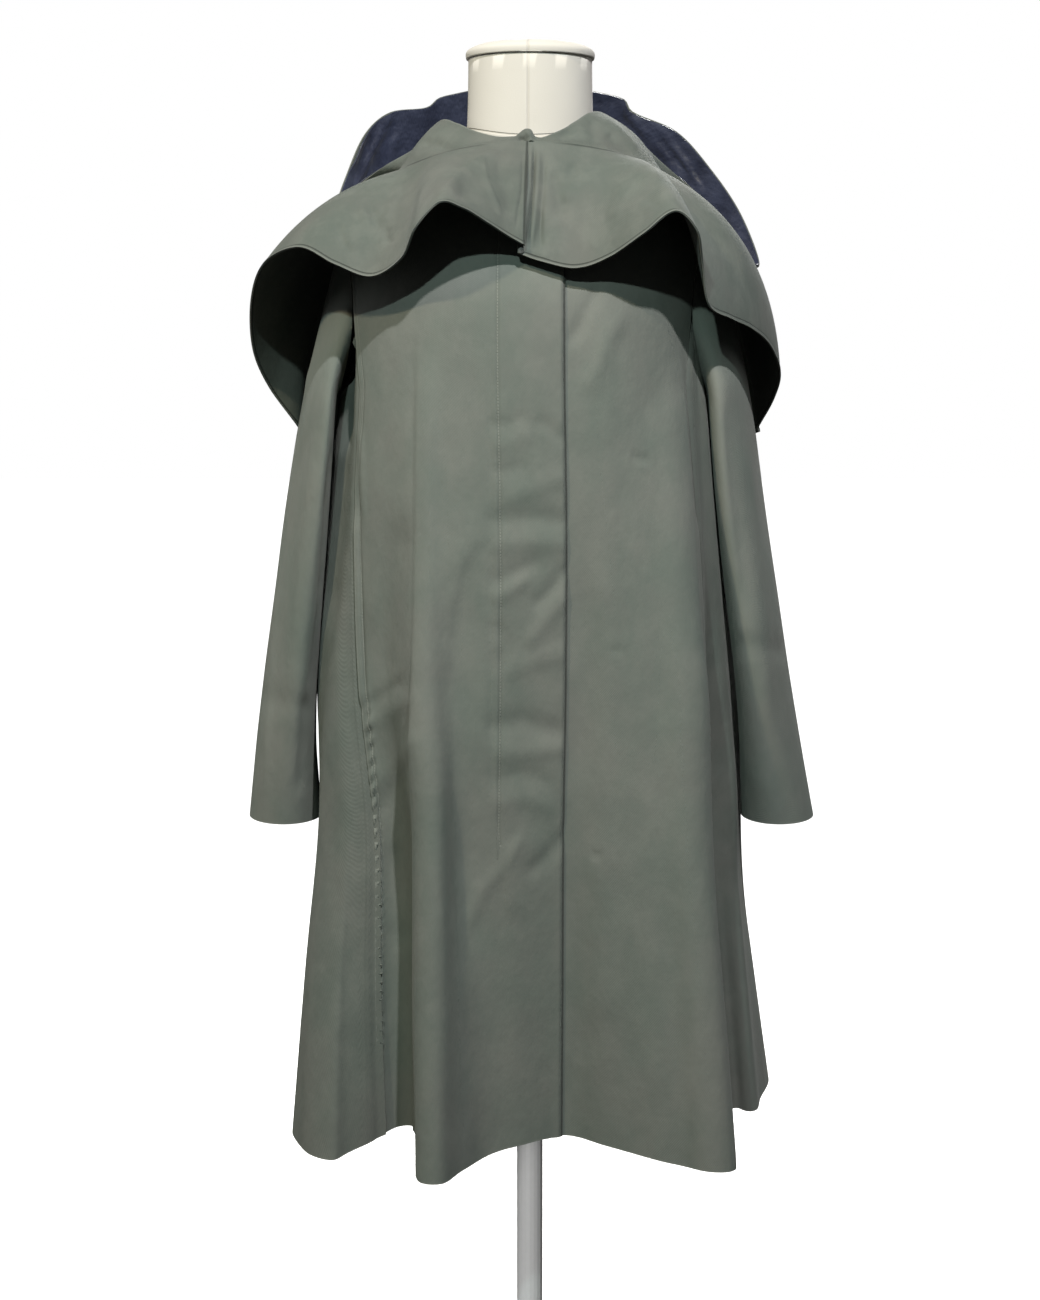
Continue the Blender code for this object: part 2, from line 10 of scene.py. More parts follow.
import bpy
import numpy as np
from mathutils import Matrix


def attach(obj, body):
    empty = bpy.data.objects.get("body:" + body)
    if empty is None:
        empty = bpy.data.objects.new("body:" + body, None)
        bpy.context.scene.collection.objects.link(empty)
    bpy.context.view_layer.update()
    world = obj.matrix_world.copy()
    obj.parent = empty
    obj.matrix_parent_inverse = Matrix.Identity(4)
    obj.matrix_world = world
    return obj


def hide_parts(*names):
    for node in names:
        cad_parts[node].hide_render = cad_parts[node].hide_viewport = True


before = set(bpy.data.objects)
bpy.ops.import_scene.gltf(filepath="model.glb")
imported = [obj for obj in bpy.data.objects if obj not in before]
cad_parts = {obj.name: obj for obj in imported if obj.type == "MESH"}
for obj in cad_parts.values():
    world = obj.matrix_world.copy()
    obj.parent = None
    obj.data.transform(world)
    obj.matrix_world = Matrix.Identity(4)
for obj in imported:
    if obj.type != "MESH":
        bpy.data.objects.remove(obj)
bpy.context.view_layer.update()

# ---- The camera ----------------------------------------------------------------------------
# It stands where the photograph was taken from: level with the chest, a little left of the
# form's pole, and tipped down by six degrees. Creases are placed in its 1040 x 1300 view.

EYE = np.array((-0.0095, -2.2, 1.13))
TIP = math.radians(6.2)
VIEW_WIDE, VIEW_HIGH, VIEW_FOCUS = 1040, 1300, 2329.4


def seen(points):
    """How far across and down the camera's view each point lies."""
    x, y, z = np.moveaxis(np.asarray(points) - EYE, -1, 0)
    away = y * math.cos(TIP) - z * math.sin(TIP)
    up = y * math.sin(TIP) + z * math.cos(TIP)
    across = VIEW_WIDE / 2 + VIEW_FOCUS * x / away
    return np.stack([across, VIEW_HIGH / 2 - VIEW_FOCUS * up / away], axis=-1)


camera = bpy.data.objects.new("camera", bpy.data.cameras.new("camera"))
camera.location = EYE
camera.rotation_euler = (math.radians(90) - TIP, 0, 0)
camera.data.sensor_width = 36
camera.data.lens = 36 * VIEW_FOCUS / VIEW_HIGH
bpy.context.scene.collection.objects.link(camera)
bpy.context.scene.camera = camera

# ---- The body of the coat ------------------------------------------------------------------
# Five panels of sage cotton gabardine: two fronts, two sides and a back, cut wide at the hem.
# They are joined by felled seams, so that each side panel's edges run in under its neighbours.

CLOTH = 0.0016
UNDERLAP = 2.4  # degrees that a side panel runs in under its neighbours
BODY_X = -0.005
SQUARE = 2.3
HEM = 0.455
ARM_LEVEL, ARM_HIGH, ARM_WIDE = 1.209, 0.079, 27.0
SIDE_SEAM, SEAM = 57.0, 0.14
SIDE_FULL = 0.015  # how much fuller the body hangs behind the sleeves

# Level by level: where the front, side and back lie, and how far out they stand.
SECTION_KEYS = ("level", "front_z", "side_z", "back_z", "right", "left", "front", "back")
SHOULDERS = (
    (1.322, 1.338, 1.320, 1.345, 0.1160, 0.1160, 0.0780, 0.0820),
    (1.308, 1.312, 1.304, 1.326, 0.1420, 0.1420, 0.1000, 0.0920),
    (1.288, 1.282, 1.282, 1.296, 0.1680, 0.1680, 0.1200, 0.1050),
    (1.250, 1.248, 1.248, 1.252, 0.1700, 0.1670, 0.1360, 0.1160),
)
BELOW = (  # level, right, left, front, back: from the armholes down all lies level
    (1.209, 0.1710, 0.1660, 0.1450, 0.1220),
    (1.130, 0.1735, 0.1680, 0.1480, 0.1260),
    (1.070, 0.1775, 0.1730, 0.1490, 0.1270),
    (0.980, 0.1835, 0.1815, 0.1500, 0.1310),
    (0.862, 0.1898, 0.1880, 0.1500, 0.1380),
    (0.736, 0.1878, 0.1900, 0.1500, 0.1460),
    (0.600, 0.2000, 0.2000, 0.1490, 0.1550),
    (0.455, 0.2100, 0.2100, 0.1480, 0.1650),
)
SECTIONS = SHOULDERS + tuple((level,) * 4 + tuple(rest) for level, *rest in BELOW)

# Round the hem: where the cloth of that angle ends, and the level its fold opens from.
HEM_KEYS = ("angle", "x", "y", "z", "start")
HEM_POINTS = (
    (-180, 0.000, 0.172, 0.458, 1.05),
    (-162, -0.068, 0.216, 0.450, 1.08),
    (-143, -0.122, 0.152, 0.459, 1.05),
    (-124, -0.192, 0.158, 0.452, 1.08),
    (-106, -0.205, 0.040, 0.458, 1.05),
    (-94, -0.214, -0.030, 0.456, 1.05),
    (-83, -0.219, -0.105, 0.451, 1.05),
    (-70, -0.180, -0.163, 0.446, 1.05),
    (-57, -0.138, -0.130, 0.456, 1.05),
    (-46, -0.108, -0.120, 0.462, 1.08),
    (-39, -0.101, -0.170, 0.456, 1.16),
    (-31, -0.088, -0.218, 0.445, 1.16),
    (-20, -0.055, -0.196, 0.449, 1.16),
    (-8, -0.018, -0.168, 0.458, 1.12),
    (10, 0.030, -0.148, 0.463, 1.05),
    (22, 0.070, -0.163, 0.459, 1.08),
    (36, 0.125, -0.187, 0.451, 1.12),
    (46, 0.163, -0.196, 0.447, 1.14),
    (52, 0.178, -0.182, 0.446, 1.14),
    (58, 0.176, -0.135, 0.452, 1.14),
    (66, 0.167, -0.078, 0.457, 1.12),
    (76, 0.188, -0.048, 0.456, 1.05),
    (86, 0.213, -0.044, 0.455, 1.00),
    (97, 0.222, -0.008, 0.455, 1.00),
    (112, 0.238, 0.086, 0.452, 1.03),
    (126, 0.196, 0.140, 0.454, 1.05),
    (143, 0.128, 0.152, 0.459, 1.05),
    (162, 0.072, 0.216, 0.450, 1.08),
    (180, 0.000, 0.172, 0.458, 1.05),
)


def column(rows, keys):
    """Every column of a table as its own list of (place, value) points."""
    ordered = np.array(sorted(rows), float)
    return {name: (ordered[:, 0], ordered[:, k]) for k, name in enumerate(keys) if k}


def curve(points, at):
    """A smooth run through a table's points, read at each place of an array."""
    x, y = points
    run = np.diff(y) / np.diff(x)
    slope = np.concatenate([run[:1], (y[2:] - y[:-2]) / (x[2:] - x[:-2]), run[-1:]])
    at = np.clip(at, x[0], x[-1])
    i = np.clip(np.searchsorted(x, at, "right") - 1, 0, len(x) - 2)
    wide = x[i + 1] - x[i]
    t = (at - x[i]) / wide
    return (
        (2 * t**3 - 3 * t**2 + 1) * y[i]
        + (t**3 - 2 * t**2 + t) * wide * slope[i]
        + (3 * t**2 - 2 * t**3) * y[i + 1]
        + (t**3 - t**2) * wide * slope[i + 1]
    )


def point(table, at):
    """The x, y and z that a table gives at each place of an array."""
    return np.stack([curve(table[k], at) for k in ("x", "y", "z")], axis=-1)


def sine_cosine(degrees):
    return np.sin(np.radians(degrees)), np.cos(np.radians(degrees))


def smooth(t):
    t = np.clip(t, 0.0, 1.0)
    return t * t * (3 - 2 * t)


def unit(vectors):
    return vectors / np.maximum(np.linalg.norm(vectors, axis=-1, keepdims=True), 1e-12)


def spaced(*stretches):
    """Shares from 0 to 1 with a number of steps up to each of the given places."""
    low, shares = 0.0, [np.zeros(1)]
    for high, count in stretches:
        shares.append(np.linspace(low, high, count + 1)[1:])
        low = high
    return np.concatenate(shares)


BODY = column(SECTIONS, SECTION_KEYS)
SKIRT = column(HEM_POINTS, HEM_KEYS)


def unfolded(angle, level):
    """The body's surface with no folds in it."""
    s, c = sine_cosine(angle)
    power = 2.0 / SQUARE
    deep = np.where(c > 0, curve(BODY["front"], level), curve(BODY["back"], level))
    end_z = np.where(c > 0, curve(BODY["front_z"], level), curve(BODY["back_z"], level))
    side_z = curve(BODY["side_z"], level)
    wide = np.where(s > 0, curve(BODY["left"], level), curve(BODY["right"], level))
    hung = smooth((1.130 - level) / 0.05) * smooth((level - 0.610) / 0.22)
    behind = np.exp(-(((np.abs((angle + 180.0) % 360.0 - 180.0) - 106.0) / 13.0) ** 2))
    x = BODY_X + np.sign(s) * (wide * np.abs(s) ** power + SIDE_FULL * hung * behind)
    y = -deep * np.sign(c) * np.abs(c) ** power
    return np.stack([x, y, side_z + (end_z - side_z) * c * c], axis=-1)


def body(angle, level):
    """Points of the coat's body, folds and all."""
    angle, level = np.broadcast_arrays(np.asarray(angle, float), np.asarray(level, float))
    angle = (angle + 180.0) % 360.0 - 180.0
    start = curve(SKIRT["start"], angle)
    open_by = np.maximum(0.0, (start - level) / (start - HEM)) ** 1.1
    hem = point(SKIRT, angle)
    return unfolded(angle, level) + (hem - unfolded(angle, HEM)) * open_by[..., None]


def seam_angle(level):
    return SIDE_SEAM + 6.0 * np.clip((level - 1.140) / 0.069, 0.0, 1.0)


def front_reach(level):
    """How far round a front or back panel goes: to the shoulder, the armhole or the seam."""
    rise = np.clip((level - ARM_LEVEL) / ARM_HIGH, 0.0, 1.0)
    return np.where(
        level > ARM_LEVEL, 90.0 - ARM_WIDE * np.sqrt(1.0 - rise * rise), seam_angle(level)
    )


def outward(grid, ring=False):
    """The way each point of a grid faces; the rows run down and the columns to the right."""
    wide = np.concatenate([grid[:, -2:], grid, grid[:, :2]], axis=1) if ring else grid
    across, down = np.gradient(wide, axis=1), np.gradient(wide, axis=0)
    if ring:
        across, down = across[:, 2:-2], down[:, 2:-2]
    return unit(np.cross(down, across))


def lift(place, creases):
    """How far the creases raise each place of a flat map, in metres.

    A crease is its kind, its height in millimetres, its half width, and its points. A "fold" is
    a rounded ridge, or a valley where the height is below 0. An "edge" falls off sharply on one
    side and slowly on the other: the right of a line that runs down, or the left where its
    width is below 0. A "rope" is a row of slanting puckers, as a twisted seam has.
    """
    height = np.zeros(place.shape[:-1])
    for kind, high, wide, *line in creases:
        line = np.array(line, float)
        lengths = np.linalg.norm(np.diff(line, axis=0), axis=1)
        starts = np.concatenate([[0.0], lengths.cumsum()])
        nearest = np.full(height.shape, 1e9)
        side, along = np.zeros(height.shape), np.zeros(height.shape)
        for a, b, length, start in zip(line, line[1:], lengths, starts):
            run = (b - a) / length
            past = np.clip((place - a) @ run, 0.0, length)
            gap = place - (a + past[..., None] * run)
            far = np.linalg.norm(gap, axis=-1)
            closer = far < nearest
            nearest = np.where(closer, far, nearest)
            side = np.where(closer, run[1] * gap[..., 0] - run[0] * gap[..., 1], side)
            along = np.where(closer, start + past, along)
        share = along / starts[-1]
        ends = smooth(share / 0.22) * smooth((1.0 - share) / 0.22)
        if kind == "fold":
            shape = np.exp(-((nearest / wide) ** 2))
        elif kind == "edge":
            slow = side * math.copysign(1.0, wide) > 0
            reach = np.where(slow, 5.0, 1.0) * abs(wide)
            shape = np.exp(-((nearest / reach) ** 2))
        else:
            period = 19.0 - 8.0 * share
            twist = np.sin(2 * math.pi * (along + 1.3 * side) / period)
            shape = np.exp(-((nearest / wide) ** 2)) * (0.35 + 0.65 * twist)
            ends = smooth(share / 0.04) * smooth((1.0 - share) / 0.04)
        height += 0.001 * high * shape * ends
    return height


def pressed(grid, creases, ring=False, face=1):
    """The grid with creases pressed in, each where the camera's view has it.

    They stand out from the face that the grid's rows and columns give, or the other, at -1,
    and die away where the cloth turns from the camera.
    """
    out = outward(grid, ring) * face
    facing = smooth(-(out * unit(grid - EYE)).sum(axis=-1) / 0.25)
    height = lift(seen(grid), creases) * facing
    return grid + out * height[..., None]


def measured(grid, axis):
    """How far each point of a grid is from its first row (axis 0) or column (axis 1)."""
    steps = np.linalg.norm(np.diff(grid, axis=axis), axis=2)
    start = np.zeros_like(np.take(grid[..., 0], [0], axis=axis))
    return np.concatenate([start, steps.cumsum(axis=axis)], axis=axis)


def alone(piece):
    """Brings a new object into the scene as the only one that is selected."""
    bpy.context.scene.collection.objects.link(piece)
    bpy.ops.object.select_all(action="DESELECT")
    piece.select_set(True)
    bpy.context.view_layer.objects.active = piece


def cloth(name, grid, thick=CLOTH, ring=False):
    """A piece of cloth through rows of points, with its cut as a map and its own thickness.

    The map is in metres: across from the first column and down from the first row. Each point
    also knows how far it is from the piece's first and last column and from its foot.
    """
    rows, wide = grid.shape[:2]
    closed = np.concatenate([grid, grid[:, :1]], axis=1) if ring else grid
    across, down = measured(closed, 1), measured(closed, 0)
    r, c = np.mgrid[: rows - 1, : closed.shape[1] - 1]
    corners = [(r, c), (r + 1, c), (r + 1, c + 1), (r, c + 1)]
    faces = np.stack([i * wide + j % wide for i, j in corners], axis=-1).reshape(-1, 4)
    cut = np.stack([np.stack([across[k], -down[k]], axis=-1) for k in corners], axis=2)
    mesh = bpy.data.meshes.new(name)
    mesh.from_pydata(grid.reshape(-1, 3).tolist(), [], faces.tolist())
    mesh.uv_layers.new(name="cut").uv.foreach_set("vector", cut.reshape(-1).astype(np.float32))
    fields = {
        "from_first": across[:, :wide],
        "from_last": (across[:, -1:] - across)[:, :wide],
        "from_top": down[:, :wide],
        "from_foot": (down[-1:] - down)[:, :wide],
    }
    for label, field in fields.items():
        held = mesh.attributes.new(label, "FLOAT", "POINT")
        held.data.foreach_set("value", field.reshape(-1).astype(np.float32))
    piece = bpy.data.objects.new(name, mesh)
    alone(piece)
    wall = piece.modifiers.new("wall", "SOLIDIFY")
    wall.thickness = thick
    wall.offset = 0.0
    wall.use_even_offset = False
    bpy.ops.object.modifier_apply(modifier="wall")
    bpy.ops.object.shade_smooth_by_angle(angle=math.radians(55))
    return piece


def sewn(piece, look):
    """A finished piece of cloth: its look, hung on the root, with the CAD part that it stands for
    hidden.
    """
    piece.data.materials.append(look)
    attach(piece, "root")
    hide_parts(piece.name.removesuffix("_cloth"))


class Recipe:
    """A material's nodes, made and joined one after another."""

    def __init__(self, name):
        self.made = bpy.data.materials.new(name)
        self.made.use_nodes = True
        self.tree = self.made.node_tree
        self.shader = self.tree.nodes["Principled BSDF"]

    def node(self, kind, inputs=(), **settings):
        node = self.tree.nodes.new("ShaderNode" + kind)
        for key, value in settings.items():
            setattr(node, key, value)
        for key, value in dict(inputs).items():
            self.put(value, node.inputs[key])
        return node

    def put(self, value, socket):
        if isinstance(value, bpy.types.NodeSocket):
            self.tree.links.new(value, socket)
        else:
            socket.default_value = value

    def sum(self, operation, *values):
        return self.node("Math", dict(enumerate(values)), operation=operation).outputs[0]

    def times(self, a, b):
        return self.sum("MULTIPLY", a, b)

    def apart(self, value, place):
        """How far a value is from a place, on either side."""
        return self.sum("ABSOLUTE", self.sum("SUBTRACT", value, place))

    def most(self, *values):
        """The largest of some values, or None of none."""
        top = None
        for value in values:
            top = value if top is None else self.sum("MAXIMUM", top, value)
        return top

    def fall(self, value, low, high, top=1.0, foot=0.0):
        """top up to low, foot from high on, and a smooth slope between."""
        inputs = {"Value": value, 1: low, 2: high, 3: top, 4: foot}
        return self.node("MapRange", inputs, interpolation_type="SMOOTHSTEP").outputs[0]

    def field(self, name):
        return self.node("Attribute", attribute_name=name).outputs["Fac"]

    def mix(self, share, a, b):
        node = self.node("Mix", data_type="RGBA")
        for key, value in ((0, share), (6, a), (7, b)):
            self.put(value, node.inputs[key])
        return node.outputs[2]

    def noise(self, vector, scale, detail=2.0, rough=0.5):
        inputs = {"Vector": vector, "Scale": scale, "Detail": detail, "Roughness": rough}
        return self.node("TexNoise", inputs).outputs["Fac"]

    def bump(self, height, strength, distance, before=None):
        inputs = {"Height": height, "Strength": strength, "Distance": distance}
        if before is not None:
            inputs["Normal"] = before
        return self.node("Bump", inputs).outputs[0]

    def finish(self, colour, rough, normal, **others):
        """The finished material; an underscore in a socket's name stands for a space."""
        inputs = {"Base Color": colour, "Roughness": rough, "Normal": normal}
        inputs.update((key.replace("_", " "), value) for key, value in others.items())
        for key, value in inputs.items():
            self.put(value, self.shader.inputs[key])
        return self.made


SAGE_COOL, SAGE_WARM = (0.148, 0.172, 0.150), (0.186, 0.193, 0.173)
SAGE_FADED, SAGE_WORN = (0.262, 0.268, 0.236, 1), (0.300, 0.308, 0.280, 1)
# Painted shade: the near-black of the bands along seams and edges, and the darker green of the
# furrows beside stitching.
SHADE_BAND_DARK, FURROW_SHADE_DARK = (0.030, 0.034, 0.030, 1), (0.080, 0.092, 0.078, 1)
THREAD_PALE = (0.262, 0.275, 0.242, 1)
STITCH = 0.0014  # half of the pitch of the stitching
TWILL, YARN = 430.0, 1400.0


def gabardine(name, rows=(), edges=("from_foot",), shade_bands=(), shade=1.0):
    """Twill-woven cotton, with its rows of stitching, worn edges and bands of painted shade.

    A row is (field, metres, field along it, its length), and the furrow beside its stitches
    is darkened as painted shade. An edge is a field, and a band is (field, metres, half
    width, strength): a near-black stripe of painted shade along a seam or edge, pressed in as
    a shallow groove too, where a fifth field keeps it off that edge. The shade scales the
    dye's colour of the whole piece: below 1 it darkens a piece as painted shade, and above 1
    it lightens one as painted light.
    """
    mat = Recipe(name)
    cut = mat.node("UVMap", uv_map="cut").outputs[0]
    place = mat.node("TexCoord").outputs["Object"]
    steep = mat.node("Mapping", {"Vector": cut, "Scale": (1.0, 0.62, 1.0)}).outputs[0]
    twill = mat.node(
        "TexWave",
        {"Vector": steep, "Scale": TWILL, "Distortion": 0.8, "Detail": 1.0},
        wave_type="BANDS",
        bands_direction="DIAGONAL",
    ).outputs["Fac"]
    yarn = mat.noise(cut, YARN, 2.0, 0.6)
    long = mat.node("Mapping", {"Vector": place, "Scale": (1.0, 1.0, 0.62)}).outputs[0]
    mottle = mat.noise(long, 13.0, 5.0, 0.60)
    tone = mat.sum("MULTIPLY_ADD", yarn, 0.25, mat.times(mottle, 0.75))
    # Painted light: shade scales the whole piece's colour, as painted shade below 1 and painted
    # light above 1.
    cool, warm = (tuple(c * shade for c in dye) + (1,) for dye in (SAGE_COOL, SAGE_WARM))
    colour = mat.mix(mat.fall(tone, 0.33, 0.67, 0.0, 1.0), cool, warm)
    faded = mat.fall(mat.noise(long, 41.0, 4.0, 0.62), 0.40, 0.70, 0.0, 0.16)
    colour = mat.mix(faded, colour, SAGE_FADED)
    threads, furrows = [], []
    for row, metres, run, length in rows:
        gap = mat.apart(mat.field(row), metres)
        beat = mat.sum("PINGPONG", mat.field(run), STITCH)
        held = mat.fall(mat.field(run), length - 0.002, length)
        stitch = mat.times(mat.fall(gap, 0.0002, 0.0008), held)
        threads.append(mat.times(stitch, mat.fall(beat, 0.0001, 0.0004, 0.0, 1.0)))
        furrows.append(mat.times(mat.fall(gap, 0.0004, 0.0032), held))
    worn = mat.most(*(mat.fall(mat.field(edge), 0.0002, 0.0022) for edge in edges))
    if worn is not None:
        colour = mat.mix(mat.times(worn, 0.30), colour, SAGE_WORN)
    weave = mat.sum("MULTIPLY_ADD", twill, 0.7, mat.times(yarn, 0.6))
    slack = mat.noise(long, 30.0, 4.0, 0.55)
    surface = mat.bump(weave, 0.55, 0.00025, mat.bump(slack, 0.55, 0.0035))
    # Painted shade: each band mixes the colour towards near-black along a seam or edge; its
    # groove is real relief through the bump.
    for row, metres, wide, strength, *clear in shade_bands:
        groove_shade = mat.fall(mat.apart(mat.field(row), metres), wide * 0.3, wide)
        for other in clear:
            groove_shade = mat.times(groove_shade, mat.fall(mat.field(other), 0.030, 0.060, 0.0, 1.0))
        colour = mat.mix(mat.times(groove_shade, strength), colour, SHADE_BAND_DARK)
        surface = mat.bump(mat.times(groove_shade, -1.0), 0.8, 0.0006, surface)
    thread, furrow = mat.most(*threads), mat.most(*furrows)
    if thread is not None:
        # Painted shade: the furrow beside each row of stitches is darkened; its dip is also real
        # relief through the bump.
        colour = mat.mix(mat.times(furrow, 0.14), colour, FURROW_SHADE_DARK)
        colour = mat.mix(mat.times(thread, 0.80), colour, THREAD_PALE)
        relief = mat.sum("SUBTRACT", mat.times(thread, 0.6), furrow)
        surface = mat.bump(relief, 0.8, 0.0007, surface)
    return mat.finish(
        colour,
        mat.fall(yarn, 0.2, 0.8, 0.78, 0.92),
        surface,
        Specular_IOR_Level=0.24,
        Sheen_Weight=0.10,
        Sheen_Roughness=0.45,
        Sheen_Tint=(0.86, 0.90, 0.84, 1),
    )


LEVEL_STEPS = spaced((0.92, 200), (0.985, 20), (1.0, 10))
LEVELS = 1.322 - (1.322 - HEM) * LEVEL_STEPS

# The coat's right front laps over the left: it ends at the front edge, beside the fly.
RIGHT_FRONT_CREASES = (
    ("edge", 3.0, 3.2, (420, 310), (419, 430), (418, 560), (418, 700), (418, 840)),
    ("edge", 5.2, 4.2, (418, 560), (417, 760), (416, 900), (415, 1040), (414, 1400)),
    ("fold", 1.8, 9.0, (430, 330), (430, 450), (430, 600), (430, 760)),
    ("fold", -4.5, 20.0, (486, 545), (464, 590), (457, 660), (457, 760), (466, 900), (480, 1000)),
    ("fold", -8.0, 26.0, (470, 720), (474, 880), (482, 1010), (488, 1100), (490, 1400)),
    ("fold", 8.0, 16.0, (435, 640), (435, 860), (433, 1040), (431, 1400)),
    ("edge", 1.5, -6.0, (498, 529), (472, 544), (457, 572), (448, 615), (444, 690)),
    ("fold", -3.2, 11.0, (406, 505), (399, 560), (391, 620), (384, 700)),
    ("fold", 1.6, 8.0, (392, 460), (384, 520), (376, 580), (370, 650)),
    ("fold", -1.5, 6.0, (350, 716), (378, 699), (410, 676)),
    ("fold", 1.1, 7.0, (360, 734), (390, 712), (424, 692)),
    ("fold", 1.1, 9.0, (370, 790), (396, 762), (424, 730)),
    ("fold", -1.2, 9.0, (368, 826), (390, 794), (414, 750)),
    ("fold", -2.0, 9.0, (388, 840), (400, 900), (402, 960)),
    ("fold", -9.5, 21.0, (396, 700), (397, 860), (399, 1000), (401, 1090), (403, 1400)),
    ("rope", 2.6, 3.6, (369, 700), (374, 800), (380, 900), (383, 1060)),
    ("fold", -2.0, 2.6, (358.5, 470), (360, 540), (363, 610), (366, 712)),
    ("fold", 1.2, 3.0, (361, 420), (363, 480), (365, 530)),
    ("fold", 0.9, 2.4, (497, 300), (496, 480), (496, 640), (497, 760), (495, 850)),
    ("fold", -0.5, 4.0, (492, 300), (491, 480), (491, 640), (492, 760), (490, 850)),
    ("fold", -1.0, 6.0, (484, 426), (510, 423), (532, 413)),
    ("fold", 1.0, 8.0, (486, 448), (516, 441), (536, 431)),
    ("fold", -1.0, 7.0, (534, 416), (552, 430), (570, 446)),
    ("fold", -0.9, 7.0, (486, 472), (512, 470), (532, 462)),
    ("fold", 1.4, 10.0, (496, 500), (536, 487), (574, 472)),
    ("fold", -1.8, 10.0, (478, 521), (530, 518), (580, 522)),
    ("fold", 1.4, 9.0, (482, 548), (530, 542), (580, 546)),
    ("fold", -1.5, 8.0, (484, 586), (514, 573), (546, 558)),
    ("fold", 1.5, 7.0, (488, 603), (512, 589), (534, 574)),
    ("fold", -1.8, 7.0, (530, 612), (551, 590), (572, 560)),
    ("fold", 1.7, 8.0, (522, 652), (547, 618), (574, 588)),
    ("fold", -1.2, 8.0, (492, 616), (507, 642), (500, 680)),
    ("fold", 1.3, 10.0, (492, 678), (530, 662), (576, 650)),
    ("fold", -2.0, 11.0, (478, 730), (522, 722), (574, 736)),
    ("fold", 1.3, 9.0, (484, 754), (530, 752), (576, 746)),
    ("fold", -1.2, 9.0, (484, 784), (520, 774), (560, 784)),
    ("fold", 1.1, 9.0, (486, 808), (522, 798), (562, 810)),
    ("edge", 1.5, 4.0, (526, 822), (511, 862), (507.5, 884), (512, 926)),
    ("fold", 1.7, 6.5, (522, 832), (500, 872), (485, 892), (474, 934)),
    ("fold", -1.7, 8.0, (578, 820), (551, 852), (522, 880)),
)


def with_edge(grid, where, out):
    """Moves part of a grid along its normals: where is 0 to 1 at each point."""
    return grid + outward(grid) * (where * out)[..., None]


FLY_WIDE, FLY_LONG = 0.0600, 0.632  # the fly's row of stitches: from the front edge, and down
SEAM_ROW = 0.0065  # a felled seam's row of stitches, in from its edge
POCKET_FOOT, POCKET_TOP, POCKET_FADE, POCKET_RIM = 0.835, 1.035, 0.03, 0.014
FRONT_TO = 9.6  # how far the right front laps past the middle, in degrees


shares = spaced((0.055, 14), (0.80, 66), (0.84, 8), (0.97, 20), (1.0, 8))
reach = front_reach(LEVELS)[:, None] - SEAM
angle = -reach + (FRONT_TO + reach) * shares[None, :]
grid = pressed(body(angle, LEVELS[:, None]), RIGHT_FRONT_CREASES)
from_side = measured(grid, 1)
from_edge = from_side[:, -1:] - from_side
pocket = smooth((LEVELS - POCKET_FOOT) / POCKET_FADE)
pocket = (pocket * smooth((POCKET_TOP - LEVELS) / POCKET_FADE))[:, None]
grid = with_edge(grid, pocket * (1 - smooth(from_side / POCKET_RIM)), 0.0024)
grid = with_edge(grid, 1 - smooth(from_edge / 0.0046), -0.0026)
look = gabardine(
    "right front gabardine",
    (("from_last", FLY_WIDE, "from_top", FLY_LONG), ("from_first", SEAM_ROW, "from_top", 2.0)),
    ("from_first", "from_foot"),
    # Painted shade: a near-black band along the front edge, where it laps over the left front.
    (("from_last", 0.0004, 0.0022, 0.75),),
)
sewn(cloth("right_front_cloth", grid), look)

LEFT_FRONT_CREASES = (
    ("fold", -2.2, 8.0, (600, 282), (586, 314), (568, 350)),
    ("fold", 1.6, 9.0, (628, 300), (606, 345), (584, 400)),
    ("fold", -1.2, 3.0, (629, 456), (641, 459), (652, 458)),
    ("fold", -1.2, 3.0, (609, 650), (616, 651), (623, 649)),
    ("fold", -1.2, 3.0, (590, 853), (597, 855), (604, 854)),
    ("fold", -1.6, 16.0, (578, 560), (590, 680), (584, 800)),
    ("fold", 1.6, 20.0, (600, 820), (606, 920), (596, 1040)),
    ("fold", -1.8, 18.0, (668, 860), (676, 960), (684, 1100), (690, 1300)),
    ("edge", 4.2, -4.0, (676, 330), (683, 440), (690, 540), (697, 660), (703, 760)),
    ("edge", 6.4, -4.8, (694, 600), (704, 780), (713, 870), (722, 970), (733, 1160), (742, 1300)),
    ("fold", 2.6, 14.0, (664, 380), (672, 560), (680, 760), (692, 960), (704, 1160), (708, 1400)),
)
shares = spaced((0.03, 6), (0.94, 92), (1.0, 16))
angle = -8.5 + (8.5 + reach) * shares[None, :]
grid = body(angle, LEVELS[:, None])
under = 0.0052 * (1.0 - smooth((angle - 9.0) / 15.0))
grid = grid - outward(grid) * under[..., None]
grid = pressed(grid, LEFT_FRONT_CREASES)
from_edge = measured(grid, 1)
from_side = from_edge[:, -1:] - from_edge
grid = with_edge(grid, pocket * (1 - smooth(from_side / POCKET_RIM)), 0.0020)
look = gabardine("left front gabardine", edges=("from_last", "from_foot"))
sewn(cloth("left_front_cloth", grid), look)

shares = spaced((0.03, 8), (0.97, 150), (1.0, 8))
start = 180.0 - front_reach(LEVELS)[:, None] + SEAM
angle = start + (360.0 - 2 * start) * shares[None, :]
grid = body(angle, LEVELS[:, None])
look = gabardine(
    "back gabardine",
    [(side, SEAM_ROW, "from_top", 2.0) for side in ("from_first", "from_last")],
    ("from_first", "from_last", "from_foot"),
)
sewn(cloth("back_cloth", grid), look)


CHEST_LEVEL, ARM_BAND = 1.105, 0.104  # where the panel's rows lie level, below the armhole


